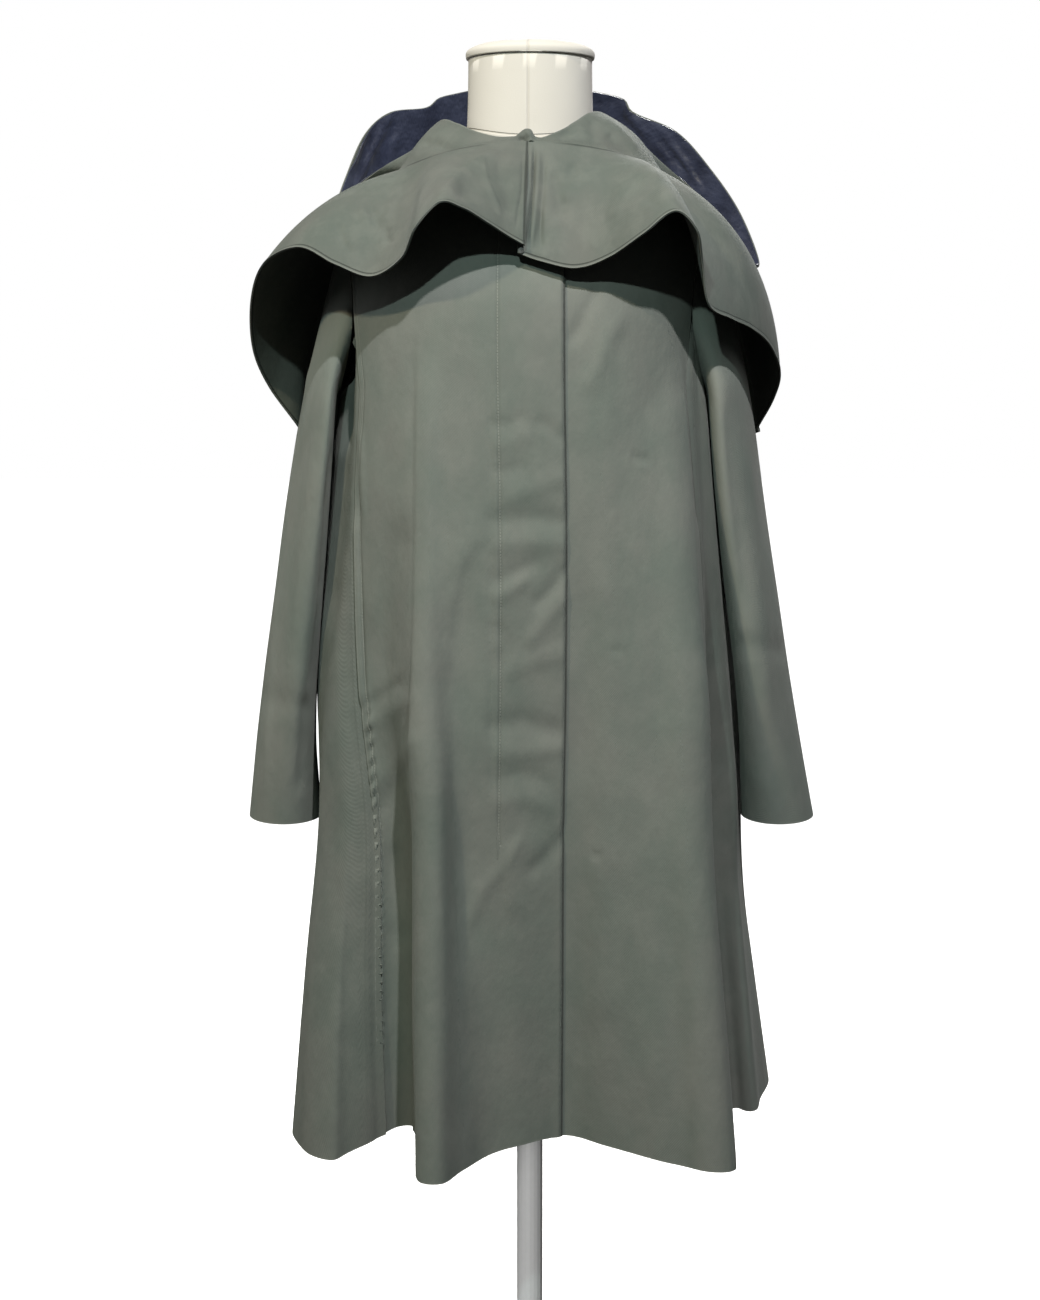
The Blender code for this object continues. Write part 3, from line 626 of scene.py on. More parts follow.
def side_panel(side):
    """A side panel in rows from the armhole to the hem; its edges lie under its neighbours."""
    shares = spaced((0.12, 12), (0.88, 44), (1.0, 12))
    sink = np.linspace(0.0, 1.0, 30)[:-1]
    low_level = ARM_LEVEL - ARM_BAND * sink
    near = (seam_angle(low_level) + SEAM - UNDERLAP)[:, None]
    angle = near + (180.0 - 2 * near) * shares
    across = np.minimum(np.abs(angle - 90.0) / ARM_WIDE, 1.0)
    top = ARM_LEVEL - (ARM_HIGH + 0.0006) * np.sqrt(1.0 - across * across)
    upper = top + (CHEST_LEVEL - top) * sink[:, None]
    lower = CHEST_LEVEL - (CHEST_LEVEL - HEM) * spaced((0.92, 150), (0.985, 14), (1.0, 8))
    near = (seam_angle(lower) + SEAM - UNDERLAP)[:, None]
    angles = np.concatenate([angle, near + (180.0 - 2 * near) * shares])
    levels = np.concatenate([upper, np.repeat(lower[:, None], len(shares), axis=1)])
    if side < 0:
        angles, levels = -angles[:, ::-1], levels[:, ::-1]
    grid = body(angles, levels)
    edge = seam_angle(levels)
    inside = np.minimum(np.abs(angles) - edge, 180.0 - edge - np.abs(angles))
    under = 0.0027 * (1.0 - smooth((inside + 0.4) / 3.0))
    return grid - outward(grid) * under[..., None]


RIGHT_SIDE_CREASES = (
    ("fold", 3.2, 10.0, (332, 660), (327, 800), (318, 920), (312, 1040), (312, 1400)),
    ("fold", -6.0, 15.0, (352, 760), (350, 860), (348, 1000), (350, 1400)),
    ("fold", -12.0, 7.0, (350, 240), (348, 310), (346, 350), (344, 400), (341, 460)),
    ("fold", -4.0, 8.0, (345, 400), (342, 480), (336, 560), (328, 640)),
)
panel = cloth("right_side_cloth", pressed(side_panel(-1), RIGHT_SIDE_CREASES))
# Painted shade: the right side panel's colour is darkened to 0.86.
sewn(panel, gabardine("right side gabardine", shade=0.86))

LEFT_SIDE_CREASES = (
    ("fold", -6.0, 4.0, (672, 240), (673, 290), (676, 340), (680, 390)),
    ("fold", 6.5, 9.0, (686, 300), (698, 430), (711, 600), (722, 740), (734, 900)),
    ("fold", -9.0, 7.0, (701, 560), (709, 720), (719, 860), (729, 980), (737, 1100), (744, 1400)),
    ("fold", 1.8, 6.0, (722, 700), (728, 800), (736, 900), (744, 1000), (752, 1200)),
)
panel = cloth("left_side_cloth", pressed(side_panel(1), LEFT_SIDE_CREASES))
# Painted shade: a soft dark band about 28 mm wide beside the left side panel's front seam.
look = gabardine("left side gabardine", shade_bands=(("from_first", 0.016, 0.014, 0.32),))
sewn(panel, look)

# ---- The fly and the pockets ---------------------------------------------------------------
# Behind the front edge a strip of the same cloth hides the fly's snaps, and a folded welt
# backs each pocket's mouth, which is left open in the seam of the front and the side.

PLACKET_TOP, PLACKET_FOOT, PLACKET_IN = 1.236, 0.720, 0.0026
PLACKET_FROM, PLACKET_WIDE = -9.5, 18.1  # in degrees
shares = spaced((1.0, 30))
levels = np.linspace(PLACKET_TOP, PLACKET_FOOT, 110)
grid = body(PLACKET_FROM + PLACKET_WIDE * shares[None, :], levels[:, None])
placket = cloth("fly_placket_cloth", grid - outward(grid) * PLACKET_IN)
sewn(placket, gabardine("placket gabardine", edges=()))

WELT_TOP, WELT_FOOT, WELT_IN = 1.012, 0.848, 0.0048
WELT_ANGLES = np.array((52.0, 60.5))
WELTS = ((-1, "right_pocket_welt_cloth", 0.022), (1, "left_pocket_welt_cloth", 0.032))
for side, name, wide in WELTS:
    levels = np.linspace(WELT_TOP, WELT_FOOT, 40)
    angles = np.sort(side * WELT_ANGLES)
    grid = body(np.linspace(*angles, 14)[None, :], levels[:, None])
    welt = cloth(name, grid - outward(grid) * WELT_IN)
    sewn(welt, gabardine(name.replace("_", " "), edges=()))

# ---- The sleeves ---------------------------------------------------------------------------
# Two plain sleeves, set into the armholes and hanging empty, flat from side to side and open
# at the cuff. In the table left and right are the viewer's.

SLEEVE_KEYS = ("z", "left_x", "right_x", "y", "left_wide", "right_wide", "lean", "deep")
SLEEVES = (
    (1.100, -0.2014, 0.1900, -0.005, 0.0130, 0.0185, 0.0160, 0.0760),
    (1.016, -0.2115, 0.2000, -0.003, 0.0175, 0.0200, 0.0170, 0.0740),
    (0.977, -0.2155, 0.2051, -0.002, 0.0187, 0.0216, 0.0150, 0.0720),
    (0.924, -0.2216, 0.2131, 0.000, 0.0220, 0.0238, 0.0135, 0.0700),
    (0.862, -0.2284, 0.2218, 0.003, 0.0238, 0.0243, 0.0130, 0.0670),
    (0.800, -0.2330, 0.2299, 0.006, 0.0280, 0.0285, 0.0090, 0.0630),
    (0.732, -0.2345, 0.2375, 0.010, 0.0340, 0.0340, 0.0030, 0.0580),
)
SLEEVE_PIVOT_Z, SLEEVE_NEAR = 1.127, 0.0075
HEAD_Z = 1.100  # where the sleeve's head ends and its straight tube starts
ARMS = column(SLEEVES, SLEEVE_KEYS)


def middle_and_half(side, z):
    """Across the sleeve at a height: its middle and half of its width, on either side."""
    hand = "left" if side < 0 else "right"
    return curve(ARMS[hand + "_x"], z), curve(ARMS[hand + "_wide"], z)


def armhole_point(side, turn):
    """Points of the sleeve's head; turn 0 is the shoulder, 90 the front."""
    s, c = sine_cosine(turn)
    return body(side * (90.0 - (ARM_WIDE - 1.3) * s), ARM_LEVEL + (ARM_HIGH - 0.0030) * c)


def head_point(side, swing, turn):
    """The sleeve's cross-section on a plane swung from upright (0) to level (90)."""
    centre, wide = middle_and_half(side, HEAD_Z)
    pivot_x = abs(armhole_point(side, 180.0)[0])
    reach = abs(centre) + wide - 0.0035 - pivot_x
    tall = ARM_LEVEL + ARM_HIGH - SLEEVE_PIVOT_Z
    a, t = math.radians(swing), np.radians(turn)
    outer = ((max(math.cos(a), 0.0) / tall) ** 1.2 + (math.sin(a) / reach) ** 1.2) ** (-1 / 1.2)
    middle, half = (outer + SLEEVE_NEAR) / 2, (outer - SLEEVE_NEAR) / 2
    r = middle + half * np.cos(t)
    y = -0.0065 - 0.0755 * np.sin(t)
    lean = curve(ARMS["lean"], HEAD_Z) * smooth(swing / 90.0) * np.sin(t)
    x = side * (pivot_x + r * math.sin(a) - lean)
    return np.stack([x, y, SLEEVE_PIVOT_Z + r * math.cos(a)], axis=-1)


EASING = 160  # rounds of easing that take the bend out of the sleeve below its head


def sleeve(side):
    """A sleeve in rows from the armhole to the cuff."""
    turns = np.linspace(0, 360, 109)[:-1]
    rows = []
    for swing in (0, 16, 34, 52, 70, 90):
        keep = 1.0 - smooth(swing / 60.0)
        moved = armhole_point(side, turns) - head_point(side, 0, turns)
        rows.append(head_point(side, swing, turns) + moved * keep)
    s, c = sine_cosine(turns)
    for z in (1.080, 1.020, 0.950, 0.880, 0.810, 0.765, 0.732):
        x, wide = middle_and_half(side, z)
        x = x + side * (wide * c - curve(ARMS["lean"], z) * s)
        y = curve(ARMS["y"], z) - curve(ARMS["deep"], z) * s
        rows.append(np.stack([x, y, np.full_like(x, z)], axis=-1))
    rows = np.array(rows)
    far = np.linalg.norm(np.diff(rows, axis=0), axis=2).mean(axis=1)
    far = np.concatenate([[0.0], far.cumsum()])
    at = far[-1] * spaced((0.94, 150), (1.0, 22))
    flat = rows.reshape(len(rows), -1)
    fine = np.stack([curve((far, flat[:, k]), at) for k in range(flat.shape[1])], axis=1)
    grid = fine.reshape(len(at), -1, 3)
    loose = smooth(at / 0.03) * smooth((0.40 - at) / 0.12)
    loose = loose[1:-1, None, None] * smooth(np.abs(s) / 0.5)[None, :, None]
    for _ in range(EASING):
        grid[1:-1] += 0.25 * loose * (grid[2:] + grid[:-2] - 2 * grid[1:-1])
    return grid if side < 0 else grid[:, ::-1]


RIGHT_SLEEVE_CREASES = (
    ("edge", 2.6, -4.0, (322, 340), (306, 425), (291, 480), (280, 540), (274, 640), (262, 840)),
    ("fold", -3.6, 7.0, (338, 420), (331, 500), (325, 600), (314, 680), (306, 730)),
    ("fold", 2.0, 8.0, (318, 430), (306, 540), (298, 640), (286, 760)),
    ("fold", -2.0, 6.0, (308, 690), (303, 740), (299, 800)),
    ("fold", -1.0, 12.0, (250, 690), (281, 703), (318, 704)),
)
LEFT_SLEEVE_CREASES = (
    ("edge", 1.3, 4.0, (698, 320), (716, 481), (728, 593), (740, 722), (743.4, 840)),
    ("fold", -3.0, 9.0, (726, 380), (734, 480), (742, 560), (748, 640)),
    ("fold", 2.2, 9.0, (738, 400), (752, 540), (762, 640), (770, 760)),
    ("fold", -1.2, 12.0, (734, 640), (757, 646), (790, 654)),
)
for side, name, creases in (
    (-1, "right sleeve", RIGHT_SLEEVE_CREASES),
    (1, "left sleeve", LEFT_SLEEVE_CREASES),
):
    grid = pressed(sleeve(side), creases, ring=True)
    tube = cloth(name.replace(" ", "_") + "_cloth", grid, ring=True)
    # Painted light: the sleeves' colour is lightened by 1.14.
    sewn(tube, gabardine(name + " gabardine", shade=1.14))

# ---- The capelet ---------------------------------------------------------------------------
# Two flounced halves cut on the circle, sewn in with the hood round the neck. The right half
# laps over the left at the front, where a small snap holds them, and the edge is bound.

CAPE_KEYS = ("angle", "x", "y", "z", "rise")
CAPE_BACK = (
    (142, 0.1500, 0.205, 1.084, 0.026),
    (154, 0.0850, 0.170, 1.066, 0.024),
    (167, 0.0420, 0.216, 1.074, 0.018),
    (180, 0.0000, 0.180, 1.064, 0.018),
    (193, -0.0420, 0.216, 1.074, 0.018),
)
CAPE_RIGHT = (
    (-1, -0.0058, -0.153, 1.2605, 0.004),
    (-8, -0.0200, -0.158, 1.2680, 0.004),
    (-18, -0.0385, -0.171, 1.2788, 0.004),
    (-30, -0.0590, -0.187, 1.2895, 0.005),
    (-38, -0.0790, -0.197, 1.2918, 0.006),
    (-45, -0.0980, -0.190, 1.273, 0.006),
    (-51, -0.1110, -0.166, 1.249, 0.006),
    (-58, -0.1386, -0.145, 1.234, 0.008),
    (-66, -0.1716, -0.136, 1.245, 0.010),
    (-74, -0.2050, -0.115, 1.261, 0.012),
    (-81, -0.2400, -0.070, 1.250, 0.014),
    (-88, -0.2580, -0.020, 1.219, 0.015),
    (-95, -0.2625, 0.030, 1.174, 0.016),
    (-102, -0.2500, 0.062, 1.137, 0.024),
    (-110, -0.2235, 0.085, 1.098, 0.034),
    (-120, -0.2280, 0.140, 1.092, 0.038),
    (-131, -0.1780, 0.158, 1.078, 0.036),
) + tuple((-angle, -x, *rest) for angle, x, *rest in CAPE_BACK)
CAPE_LEFT = (
    (-8, -0.0115, -0.150, 1.2540, 0.002),
    (2, 0.0060, -0.150, 1.2478, 0.003),
    (14, 0.0383, -0.150, 1.241, 0.004),
    (27, 0.0684, -0.160, 1.250, 0.006),
    (38, 0.0975, -0.179, 1.269, 0.008),
    (47, 0.1235, -0.185, 1.287, 0.010),
    (54, 0.1423, -0.175, 1.271, 0.012),
    (60, 0.1488, -0.152, 1.244, 0.014),
    (66, 0.1563, -0.130, 1.210, 0.018),
    (72, 0.1780, -0.108, 1.199, 0.022),
    (78, 0.1990, -0.082, 1.191, 0.026),
    (84, 0.2200, -0.040, 1.177, 0.028),
    (91, 0.2350, 0.010, 1.152, 0.029),
    (98, 0.2330, 0.050, 1.127, 0.029),
    (107, 0.2220, 0.085, 1.100, 0.028),
    (118, 0.2260, 0.140, 1.094, 0.032),
    (130, 0.1780, 0.158, 1.078, 0.032),
) + CAPE_BACK


NECK_SIDE_Z, NECK_FRONT_Z, NECK_BACK_Z = 1.331, 1.352, 1.358
NECK_HALF, NECK_FRONT, NECK_BACK = 0.124, 0.085, 0.090


def neck_seam(angle):
    """The seam that joins the capelet and the hood to the coat, round the neck."""
    s, c = sine_cosine(angle)
    z = NECK_SIDE_Z + (np.where(c > 0, NECK_FRONT_Z, NECK_BACK_Z) - NECK_SIDE_Z) * c * c
    return np.stack([NECK_HALF * s, -np.where(c > 0, NECK_FRONT, NECK_BACK) * c, z], axis=-1)


def bezier(points, t):
    while len(points) > 1:
        points = [a + (b - a) * t for a, b in zip(points, points[1:])]
    return points[0]


NECK_LAP = 0.0044  # how far the capelet's top runs up over the hood's foot


def capelet_half(table, angles, sink=0.0):
    """Half of the capelet in rows from the neck to its hem."""
    shape = column(table, CAPE_KEYS)
    top = neck_seam(angles) + (0, 0, NECK_LAP)
    foot = point(shape, angles)
    run = foot - top
    flat = run * (1, 1, 0)
    upright = np.zeros_like(flat)
    upright[:, 2] = np.linalg.norm(flat, axis=1)
    belly = unit(unit(flat) * -run[:, 2:] + upright)
    middle = (top + foot) / 2 + belly * 2 * curve(shape["rise"], angles)[:, None]
    shares = spaced((0.94, 74), (1.0, 14))[:, None, None]
    grid = bezier([top[None], middle[None], foot[None]], shares)
    if sink:
        under = sink * (1.0 - smooth((angles - 0.5) / 8.0))[:, None]
        under = under * (0.1 + 0.9 * smooth(shares / 0.45))
        grid = grid + np.array((0, 1, 0)) * under
    return grid


def bound(grid):
    """Raises a narrow border along the hem, where the edge is turned under and stitched."""
    drops = np.linalg.norm(np.diff(grid, axis=0), axis=2)
    left = np.concatenate([drops[::-1].cumsum(axis=0)[::-1], np.zeros((1, grid.shape[1]))])
    rim = smooth((0.0036 - left) / 0.0010) * 0.0006
    return grid + outward(grid) * rim[..., None]


CAPE_PAINTED_SHADE = 0.73  # painted shade: the share of their colour that the capelet and the hood keep
CAPE_RIGHT_CREASES = (
    ("fold", -1.3, 2.4, (523, 150), (522, 190), (515, 232)),
    ("fold", 1.4, 2.6, (481, 154), (486, 180), (497, 206), (502, 222)),
    ("fold", -2.4, 7.0, (497, 152), (499, 172), (507, 196), (513, 220)),
    ("edge", 3.0, 3.0, (504, 148), (480, 160), (461, 174), (437, 198)),
    ("fold", 1.6, 9.0, (462, 170), (446, 190), (440, 214)),
    ("fold", -2.0, 12.0, (480, 170), (466, 188), (462, 204)),
    ("fold", -1.8, 5.0, (368, 202), (374, 216), (380, 232)),
    ("fold", 1.4, 4.0, (358, 200), (364, 214), (370, 230)),
    ("fold", -2.0, 4.0, (388, 226), (386, 236), (392, 246)),
    ("fold", -2.0, 4.5, (336, 222), (342, 240), (352, 256)),
    ("fold", 1.4, 4.0, (400, 184), (392, 206), (384, 226)),
)
CAPE_COLUMNS = np.linspace(0, 1, 321)
# Painted shade: a near-black band 3 mm in from the hem, where the bound border steps down.
HEM_SHADE_BAND = ("from_foot", 0.0030, 0.0012, 0.80)
turns = np.interp(CAPE_COLUMNS, (0, 0.24, 0.56, 0.88, 1), (-179.72, -131, -81, -12, -1))
grid = bound(pressed(capelet_half(CAPE_RIGHT, turns), CAPE_RIGHT_CREASES))
# Painted shade: near-black bands along the right half's front edge, where it laps over the left
# half, and along its neck seam.
front_edge_shade = ("from_last", 0.0004, 0.0020, 0.75)
neck_seam_shade = ("from_top", 0.0010, 0.0019, 0.80, "from_last")
look = gabardine(
    "right capelet gabardine", shade_bands=(HEM_SHADE_BAND, front_edge_shade, neck_seam_shade), shade=CAPE_PAINTED_SHADE
)
sewn(cloth("capelet_right_cloth", grid), look)

CAPE_LEFT_CREASES = (
    ("fold", 2.4, 2.2, (531, 138), (529, 190), (525, 222), (521, 256)),
    ("fold", -2.0, 1.8, (534.5, 142), (533, 190), (529.5, 222), (525.5, 256)),
    ("fold", 2.0, 2.6, (539, 144), (537, 190), (534, 222), (530, 256)),
    ("fold", -1.6, 3.0, (545, 150), (543, 190), (540, 222), (537, 250)),
    ("fold", -1.8, 3.0, (541, 206), (541, 228), (541, 250)),
    ("fold", -3.0, 8.0, (552, 168), (556, 186), (560, 204), (560, 226)),
    ("fold", 1.8, 5.0, (577, 172), (570, 190), (563, 204)),
    ("fold", -2.0, 6.0, (572, 160), (573, 176), (568, 196)),
    ("fold", 1.2, 8.0, (640, 160), (622, 192), (610, 226)),
    ("fold", -1.6, 10.0, (660, 172), (656, 190), (648, 208)),
    ("fold", 1.6, 5.0, (520, 249), (536, 254), (552, 258)),
)
turns = np.interp(CAPE_COLUMNS, (0, 0.14, 0.44, 0.76, 1), (-8, 6, 78, 130, 179.72))
grid = bound(pressed(capelet_half(CAPE_LEFT, turns, 0.0030), CAPE_LEFT_CREASES))
# Painted shade: a near-black band along the left half's neck seam.
neck_seam_shade = ("from_top", 0.0010, 0.0017, 0.60, "from_first")
look = gabardine("left capelet gabardine", shade_bands=(HEM_SHADE_BAND, neck_seam_shade), shade=CAPE_PAINTED_SHADE)
sewn(cloth("capelet_left_cloth", grid), look)

# ---- The hood ------------------------------------------------------------------------------
# It is thrown back, so it stands round the neck and falls open behind as a pouch. The shell is
# the coat's gabardine, and the lining, which shows inside the rim, is navy satin.

LINING = 0.0011
HOOD_KEYS = ("angle", "x", "y", "z", "near_back", "near_drop", "far_back", "far_drop")
HOOD = (
    (-180, 0.001, 0.195, 1.443, 0.092, 0.190, 0.145, 0.225),
    (-170, -0.085, 0.197, 1.432, 0.088, 0.180, 0.138, 0.215),
    (-164, -0.104, 0.193, 1.420, 0.082, 0.165, 0.128, 0.200),
    (-158, -0.140, 0.183, 1.414, 0.076, 0.150, 0.115, 0.180),
    (-152, -0.164, 0.166, 1.391, 0.066, 0.125, 0.098, 0.150),
    (-145, -0.181, 0.143, 1.349, 0.052, 0.085, 0.075, 0.105),
    (-137, -0.189, 0.112, 1.316, 0.034, 0.040, 0.045, 0.050),
    (-126, -0.172, 0.082, 1.327, 0.010, 0.008, 0.010, 0.006),
    (-114, -0.144, 0.055, 1.345, 0.001, 0.000, 0.001, -0.003),
    (-100, -0.106, 0.030, 1.364, -0.001, -0.003, 0.000, -0.005),
    (-88, -0.084, 0.000, 1.384, -0.002, -0.006, 0.000, -0.006),
    (-74, -0.067, -0.026, 1.379, -0.004, -0.004, -0.002, -0.004),
    (-58, -0.051, -0.048, 1.370, -0.003, -0.001, -0.002, -0.001),
    (-38, -0.030, -0.063, 1.363, -0.002, 0.000, -0.002, 0.000),
    (-16, -0.011, -0.075, 1.362, -0.002, 0.000, -0.001, 0.000),
    (0, 0.001, -0.077, 1.362, -0.001, 0.000, -0.001, 0.000),
    (16, 0.010, -0.074, 1.361, -0.002, 0.000, -0.001, 0.000),
    (38, 0.027, -0.065, 1.369, -0.002, 0.000, -0.002, 0.000),
    (58, 0.042, -0.049, 1.379, -0.003, -0.002, -0.002, -0.003),
    (74, 0.054, -0.031, 1.388, -0.004, -0.006, -0.002, -0.006),
    (86, 0.067, -0.003, 1.391, -0.002, -0.008, 0.000, -0.008),
    (97, 0.090, 0.025, 1.380, 0.000, -0.008, 0.000, -0.010),
    (108, 0.122, 0.050, 1.354, 0.003, -0.001, 0.003, -0.004),
    (118, 0.168, 0.074, 1.317, 0.012, 0.006, 0.012, 0.002),
    (127, 0.212, 0.098, 1.262, 0.028, 0.020, 0.030, 0.004),
    (134, 0.226, 0.120, 1.262, 0.040, 0.045, 0.052, 0.030),
    (142, 0.209, 0.143, 1.311, 0.052, 0.080, 0.072, 0.080),
    (150, 0.182, 0.160, 1.354, 0.064, 0.115, 0.092, 0.125),
    (158, 0.148, 0.178, 1.394, 0.076, 0.148, 0.113, 0.170),
    (166, 0.104, 0.194, 1.416, 0.084, 0.170, 0.130, 0.205),
    (171, 0.090, 0.197, 1.431, 0.088, 0.180, 0.138, 0.215),
)
HOOD_TURNS = (
    -180, -173, -166, -159, -153, -147, -141, -135, -128, -120, -111, -101, -89, -75, -58, -40,
    -20, -12, -8, -5, -2, 2, 10, 22, 40, 58, 74, 87, 98, 107, 115, 122, 128, 134, 140, 146, 152,
    158, 165, 172, 180,
)  # degrees round the hood, closer together where it curves most
FULL_TURN = 360
past_end = [(a + FULL_TURN, *rest) for a, *rest in HOOD if a in (-180, -170)]
past_start = [(a - FULL_TURN, *rest) for a, *rest in HOOD if a == 166]
COWL = column((*past_start, *HOOD, *past_end), HOOD_KEYS)
COLLAR_TIP = 0.0062  # how far the front corner of the collar stands up


def hood_grid():
    """The hood in rows from the neck seam to its rim."""
    angles = np.interp(np.linspace(0, 40, 281)[:-1], np.arange(41), HOOD_TURNS)
    start = neck_seam(angles) + (0, 0, 0.0036)
    rim = point(COWL, angles)
    walls = []
    for wall, share in (("near", 0.33), ("far", 0.67)):
        back, drop = curve(COWL[wall + "_back"], angles), curve(COWL[wall + "_drop"], angles)
        hang = np.stack([np.zeros_like(back), back, -drop], axis=-1)
        walls.append((start + (rim - start) * share + hang)[None])
    shares = spaced((0.95, 66), (1.0, 8))[:, None, None]
    grid = bezier([start[None], *walls, rim[None]], shares)
    tip = COLLAR_TIP * np.exp(-(((angles + 5.5) / 7.0) ** 4))
    grid[..., 2] += tip * smooth((shares[..., 0] - 0.3) / 0.7)
    return grid


HOOD_CREASES = (
    ("fold", 2.6, 2.4, (525, 129), (530.5, 138), (531.5, 148), (530, 162)),
    ("fold", -2.6, 2.4, (517, 139), (523, 139), (528, 146)),
    ("fold", -3.2, 5.5, (418, 143), (436, 144), (450, 150), (464, 154)),
    ("fold", 1.6, 5.0, (410, 158), (434, 156), (456, 160)),
    ("fold", -1.8, 5.0, (566, 144), (562, 136), (574, 128)),
    ("fold", -1.6, 5.0, (590, 118), (594, 136), (592, 154)),
    ("fold", -2.0, 5.0, (606, 132), (616, 144), (632, 154)),
    ("fold", 1.6, 4.0, (600, 114), (614, 124), (628, 138), (640, 152)),
)
grid = pressed(hood_grid(), HOOD_CREASES, ring=True, face=-1)
inside = grid + outward(grid, ring=True) * 0.0021
shell = cloth("hood_shell_cloth", grid, LINING, ring=True)
# Painted shade: the hood shell's colour is darkened like the capelet's.
sewn(shell, gabardine("hood gabardine", shade=CAPE_PAINTED_SHADE))


# The second, paler navy is painted sheen.
NAVY_DARK, NAVY_PAINTED_SHEEN = (0.0100, 0.0125, 0.0290, 1), (0.0480, 0.0560, 0.0980, 1)


def satin(name):
    """Smooth navy satin: real gloss from the shader, and paler patches of painted sheen."""
    mat = Recipe(name)
    cut = mat.node("UVMap", uv_map="cut").outputs[0]
    place = mat.node("TexCoord").outputs["Object"]
    floats = mat.node("Mapping", {"Vector": cut, "Scale": (1.0, 0.08, 1.0)}).outputs[0]
    fine = mat.noise(floats, 2600.0, 2.0)
    ripple = mat.noise(place, 34.0, 3.0, 0.5)
    tone = mat.sum("MULTIPLY_ADD", fine, 0.5, mat.times(ripple, 0.5))
    # Painted sheen: noise mixes the navy towards a paler navy in patches and long streaks along
    # the floats.
    colour = mat.mix(mat.fall(tone, 0.3, 0.7, 0.0, 1.0), NAVY_DARK, NAVY_PAINTED_SHEEN)
    surface = mat.bump(fine, 0.25, 0.0002, mat.bump(ripple, 0.5, 0.010))
    rough = mat.fall(fine, 0.2, 0.8, 0.34, 0.46)
    return mat.finish(colour, rough, surface, Specular_IOR_Level=0.55, Sheen_Weight=0.10)


LINING_CREASES = (
    ("fold", 3.4, 3.0, (396, 100), (380, 134), (366, 162), (352, 196)),
    ("fold", 2.6, 2.6, (410, 108), (398, 134), (386, 158)),
    ("fold", 2.6, 3.0, (372, 118), (358, 146), (350, 172)),
    ("fold", 3.4, 4.0, (614, 100), (642, 128), (666, 154), (688, 188), (702, 226)),
    ("fold", 2.6, 3.0, (632, 108), (664, 134), (690, 168), (712, 214)),
    ("fold", 2.6, 3.0, (608, 118), (632, 138), (650, 154)),
)
inside = pressed(inside, LINING_CREASES, ring=True)
lining = cloth("hood_lining_cloth", inside, LINING, ring=True)
sewn(lining, satin("hood satin"))

# ---- The snap ------------------------------------------------------------------------------
# A small plated snap on the under half of the capelet, at the corner of the overlap.


def steel(name, colour, rough, metal=1.0):
    mat = Recipe(name)
    place = mat.node("TexCoord").outputs["Object"]
    grain = mat.noise(place, 180.0, 3.0)
    shade = mat.mix(grain, tuple(c * 0.92 for c in colour) + (1,), colour + (1,))
    rough = mat.fall(grain, 0.2, 0.8, rough, rough + 0.12)
    return mat.finish(shade, rough, mat.bump(grain, 0.08, 0.0004), Metallic=metal)


SNAP_FOOT = (-0.0085, -0.1490, 1.2566)
bpy.ops.object.select_all(action="DESELECT")
bpy.ops.mesh.primitive_cylinder_add(
    vertices=40, radius=0.0025, depth=0.0014, location=SNAP_FOOT, rotation=(math.pi / 2, 0, 0)
)
snap = bpy.context.object
snap.name = snap.data.name = "capelet_snap_cap"
bpy.ops.object.transform_apply(location=True, rotation=True, scale=True)
snap.data.materials.append(steel("snap plate", (0.62, 0.62, 0.60), 0.22))
bpy.ops.object.shade_smooth_by_angle(angle=math.radians(35))
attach(snap, "root")
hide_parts("capelet_snap")

# ---- The dress form ------------------------------------------------------------------------
# A padded torso with no limbs, covered in cream jersey, whose neck shows above the coat. Its
# cover is seamed up the middle and round the neck's foot, and a capped disc closes the neck.


NECK_SEAM_X, NECK_SEAM_Z = -0.0022, 1.366


def jersey(name):
    mat = Recipe(name)
    place = mat.node("TexCoord").outputs["Object"]
    place_x, _, place_z = mat.node("SeparateXYZ", {0: place}).outputs
    fine = mat.noise(place, 900.0, 2.0)
    broad = mat.noise(place, 14.0, 2.0)
    colour = mat.mix(broad, (0.60, 0.565, 0.51, 1), (0.69, 0.655, 0.60, 1))
    middle = mat.apart(place_x, NECK_SEAM_X)
    bowl = mat.times(mat.times(place_x, place_x), 3.0)
    foot = mat.apart(mat.sum("SUBTRACT", place_z, bowl), NECK_SEAM_Z)
    seam = mat.most(mat.fall(middle, 0.0004, 0.0014), mat.fall(foot, 0.0004, 0.0014))
    colour = mat.mix(mat.times(seam, 0.14), colour, (0.42, 0.37, 0.29, 1))
    surface = mat.bump(mat.times(seam, -1.0), 0.7, 0.001, mat.bump(fine, 0.25, 0.0004))
    return mat.finish(colour, 0.95, surface, Specular_IOR_Level=0.08, Sheen_Weight=0.15)


def covered(node, name, rounds, look):
    """A CAD node's shape with its facets rounded off, as a knitted cover lies over them."""
    piece = bpy.data.objects.new(name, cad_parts[node].data.copy())
    alone(piece)
    bpy.ops.object.mode_set(mode="EDIT")
    bpy.ops.mesh.select_all(action="SELECT")
    bpy.ops.mesh.remove_doubles(threshold=0.00005)
    bpy.ops.mesh.tris_convert_to_quads(face_threshold=0.7, shape_threshold=1.2)
    bpy.ops.mesh.select_all(action="DESELECT")
    bpy.ops.mesh.select_mode(type="EDGE")
    bpy.ops.mesh.edges_select_sharp(sharpness=math.radians(50))
    bpy.ops.transform.edge_crease(value=1.0)
    bpy.ops.object.mode_set(mode="OBJECT")
    rounding = piece.modifiers.new("rounding", "SUBSURF")
    rounding.levels = rounding.render_levels = rounds
    bpy.ops.object.modifier_apply(modifier="rounding")
    bpy.ops.object.shade_smooth_by_angle(angle=math.radians(40))
    piece.data.materials.clear()
    piece.data.materials.append(look)
    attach(piece, "root")
    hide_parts(node)
    return piece


jersey_look = jersey("cream jersey")
covered("form_torso", "form_cover", 2, jersey_look)
covered("neck_cap", "neck_cap_cover", 2, jersey_look)

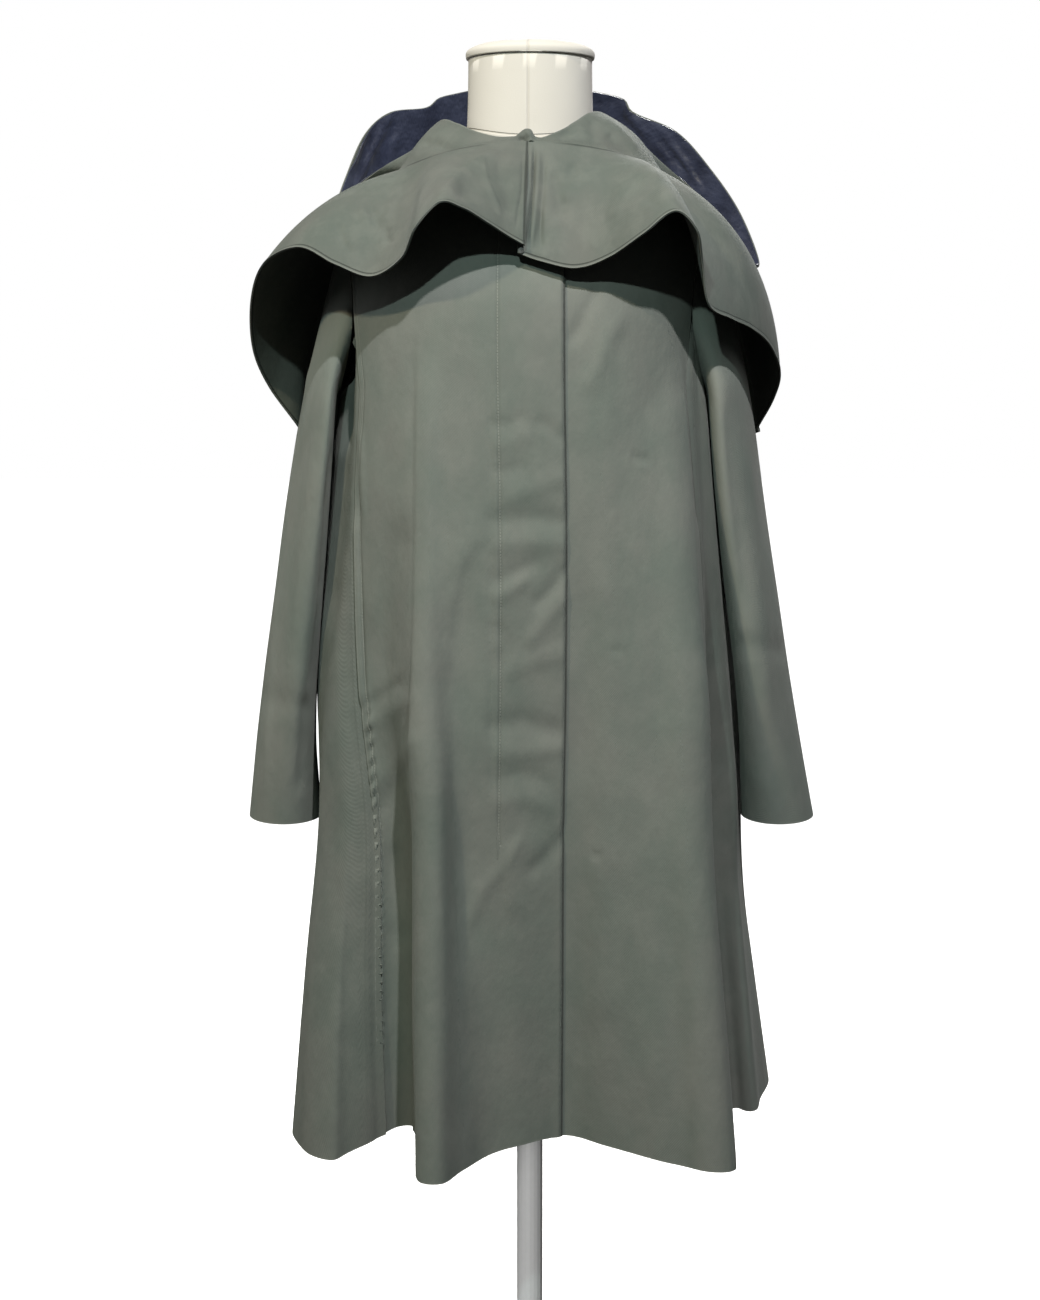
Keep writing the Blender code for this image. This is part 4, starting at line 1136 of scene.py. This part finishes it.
# ---- The stand -----------------------------------------------------------------------------
# A slim pole on a heavy round base, both finished in light grey satin paint.

stand_look = steel("stand paint", (0.62, 0.62, 0.61), 0.34, 0.0)
for name in ("pole", "base_plate"):
    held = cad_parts[name]
    held.data.materials.clear()
    held.data.materials.append(stand_look)

# ---- The studio ----------------------------------------------------------------------------
# A pale floor and three small hard lamps in front, whose shadows of the capelet fall on the coat
# in steps. Soft lamps light the sides and back. The stand and the floor have a lamp each that
# lights nothing else, and the sky is white to the camera and nearly dark to the coat.

bpy.ops.object.select_all(action="DESELECT")
bpy.ops.mesh.primitive_plane_add(size=60, location=(0, 0, 0))
floor = bpy.context.object
floor.name = "floor"
pale = Recipe("pale floor")
speck = pale.noise(pale.node("TexCoord").outputs["Object"], 3.0, 3.0)
shade = pale.mix(speck, (0.88, 0.88, 0.87, 1), (0.90, 0.90, 0.89, 1))
for socket, value in (("Base Color", shade), ("Roughness", 0.9), ("Specular IOR Level", 0.1)):
    pale.put(value, pale.shader.inputs[socket])
floor.data.materials.append(pale.made)
floor.visible_diffuse = floor.visible_glossy = False


CHEST = (0, -0.14, 1.27)


def lamp(kind, name, power, place, aim, size=None, tint=(1.0, 1.0, 1.0)):
    light = bpy.data.objects.new(name, bpy.data.lights.new(name, kind))
    light.data.energy, light.data.color = power, tint
    if size:
        light.data.shape = "RECTANGLE"
        light.data.size, light.data.size_y = size
    light.location = place
    away = unit(np.array(place, float) - np.array(aim, float))
    across = unit(np.cross((0.02, 1, 0) if abs(away[2]) > 0.99 else (0, 0, 1), away))
    up = np.cross(away, across)
    light.rotation_euler = [
        math.atan2(up[2], away[2]),
        -math.asin(across[2]),
        math.atan2(across[1], across[0]),
    ]
    bpy.context.scene.collection.objects.link(light)
    return light


lamp("AREA", "low spot", 17, (-0.386, -1.955, 2.452), CHEST, (0.05, 0.05), (0.78, 1.0, 0.95))
lamp("AREA", "high spot", 50, (0.26, -1.617, 2.879), CHEST, (0.05, 0.05), (0.98, 0.97, 0.985))
lamp("AREA", "warm spot", 20, (-1.083, -1.431, 2.684), CHEST, (0.08, 0.08), (1.0, 0.86, 0.62))
lamp("AREA", "left softbox", 16, (-2.3, 0.7, 1.9), (0, 0, 0.9), (1.0, 1.4))
lamp("AREA", "right softbox", 7, (2.3, 0.7, 1.9), (0, 0, 0.9), (1.0, 1.4))
lamp("AREA", "back softbox", 60, (0.5, 2.4, 2.5), (0, 0, 1.0), (0.9, 0.9))

stood = bpy.data.collections.new("stood")
for name in ("pole", "base_plate"):
    stood.objects.link(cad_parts[name])
foot_lamp = lamp("AREA", "foot lamp", 26, (-0.5, -1.9, 0.7), (0, 0, 0.3), (0.6, 0.6))
foot_lamp.light_linking.receiver_collection = stood

washed = bpy.data.collections.new("washed")
washed.objects.link(floor)
wash = lamp("SUN", "floor wash", 4.5, (0, 0, 4), (0, 0, 0))
wash.light_linking.receiver_collection = washed

world = bpy.data.worlds.new("studio")
world.use_nodes = True
bpy.context.scene.world = world
nodes, links = world.node_tree.nodes, world.node_tree.links
sky, bright = nodes["Background"], nodes.new("ShaderNodeBackground")
for glow, strength in ((sky, 0.028), (bright, 1.0)):
    glow.inputs["Color"].default_value = (1.0, 1.0, 1.0, 1)
    glow.inputs["Strength"].default_value = strength
ray, both = nodes.new("ShaderNodeLightPath"), nodes.new("ShaderNodeMixShader")
links.new(ray.outputs["Is Camera Ray"], both.inputs[0])
links.new(sky.outputs[0], both.inputs[1])
links.new(bright.outputs[0], both.inputs[2])
links.new(both.outputs[0], nodes["World Output"].inputs["Surface"])
bpy.context.scene.view_settings.view_transform = "Standard"
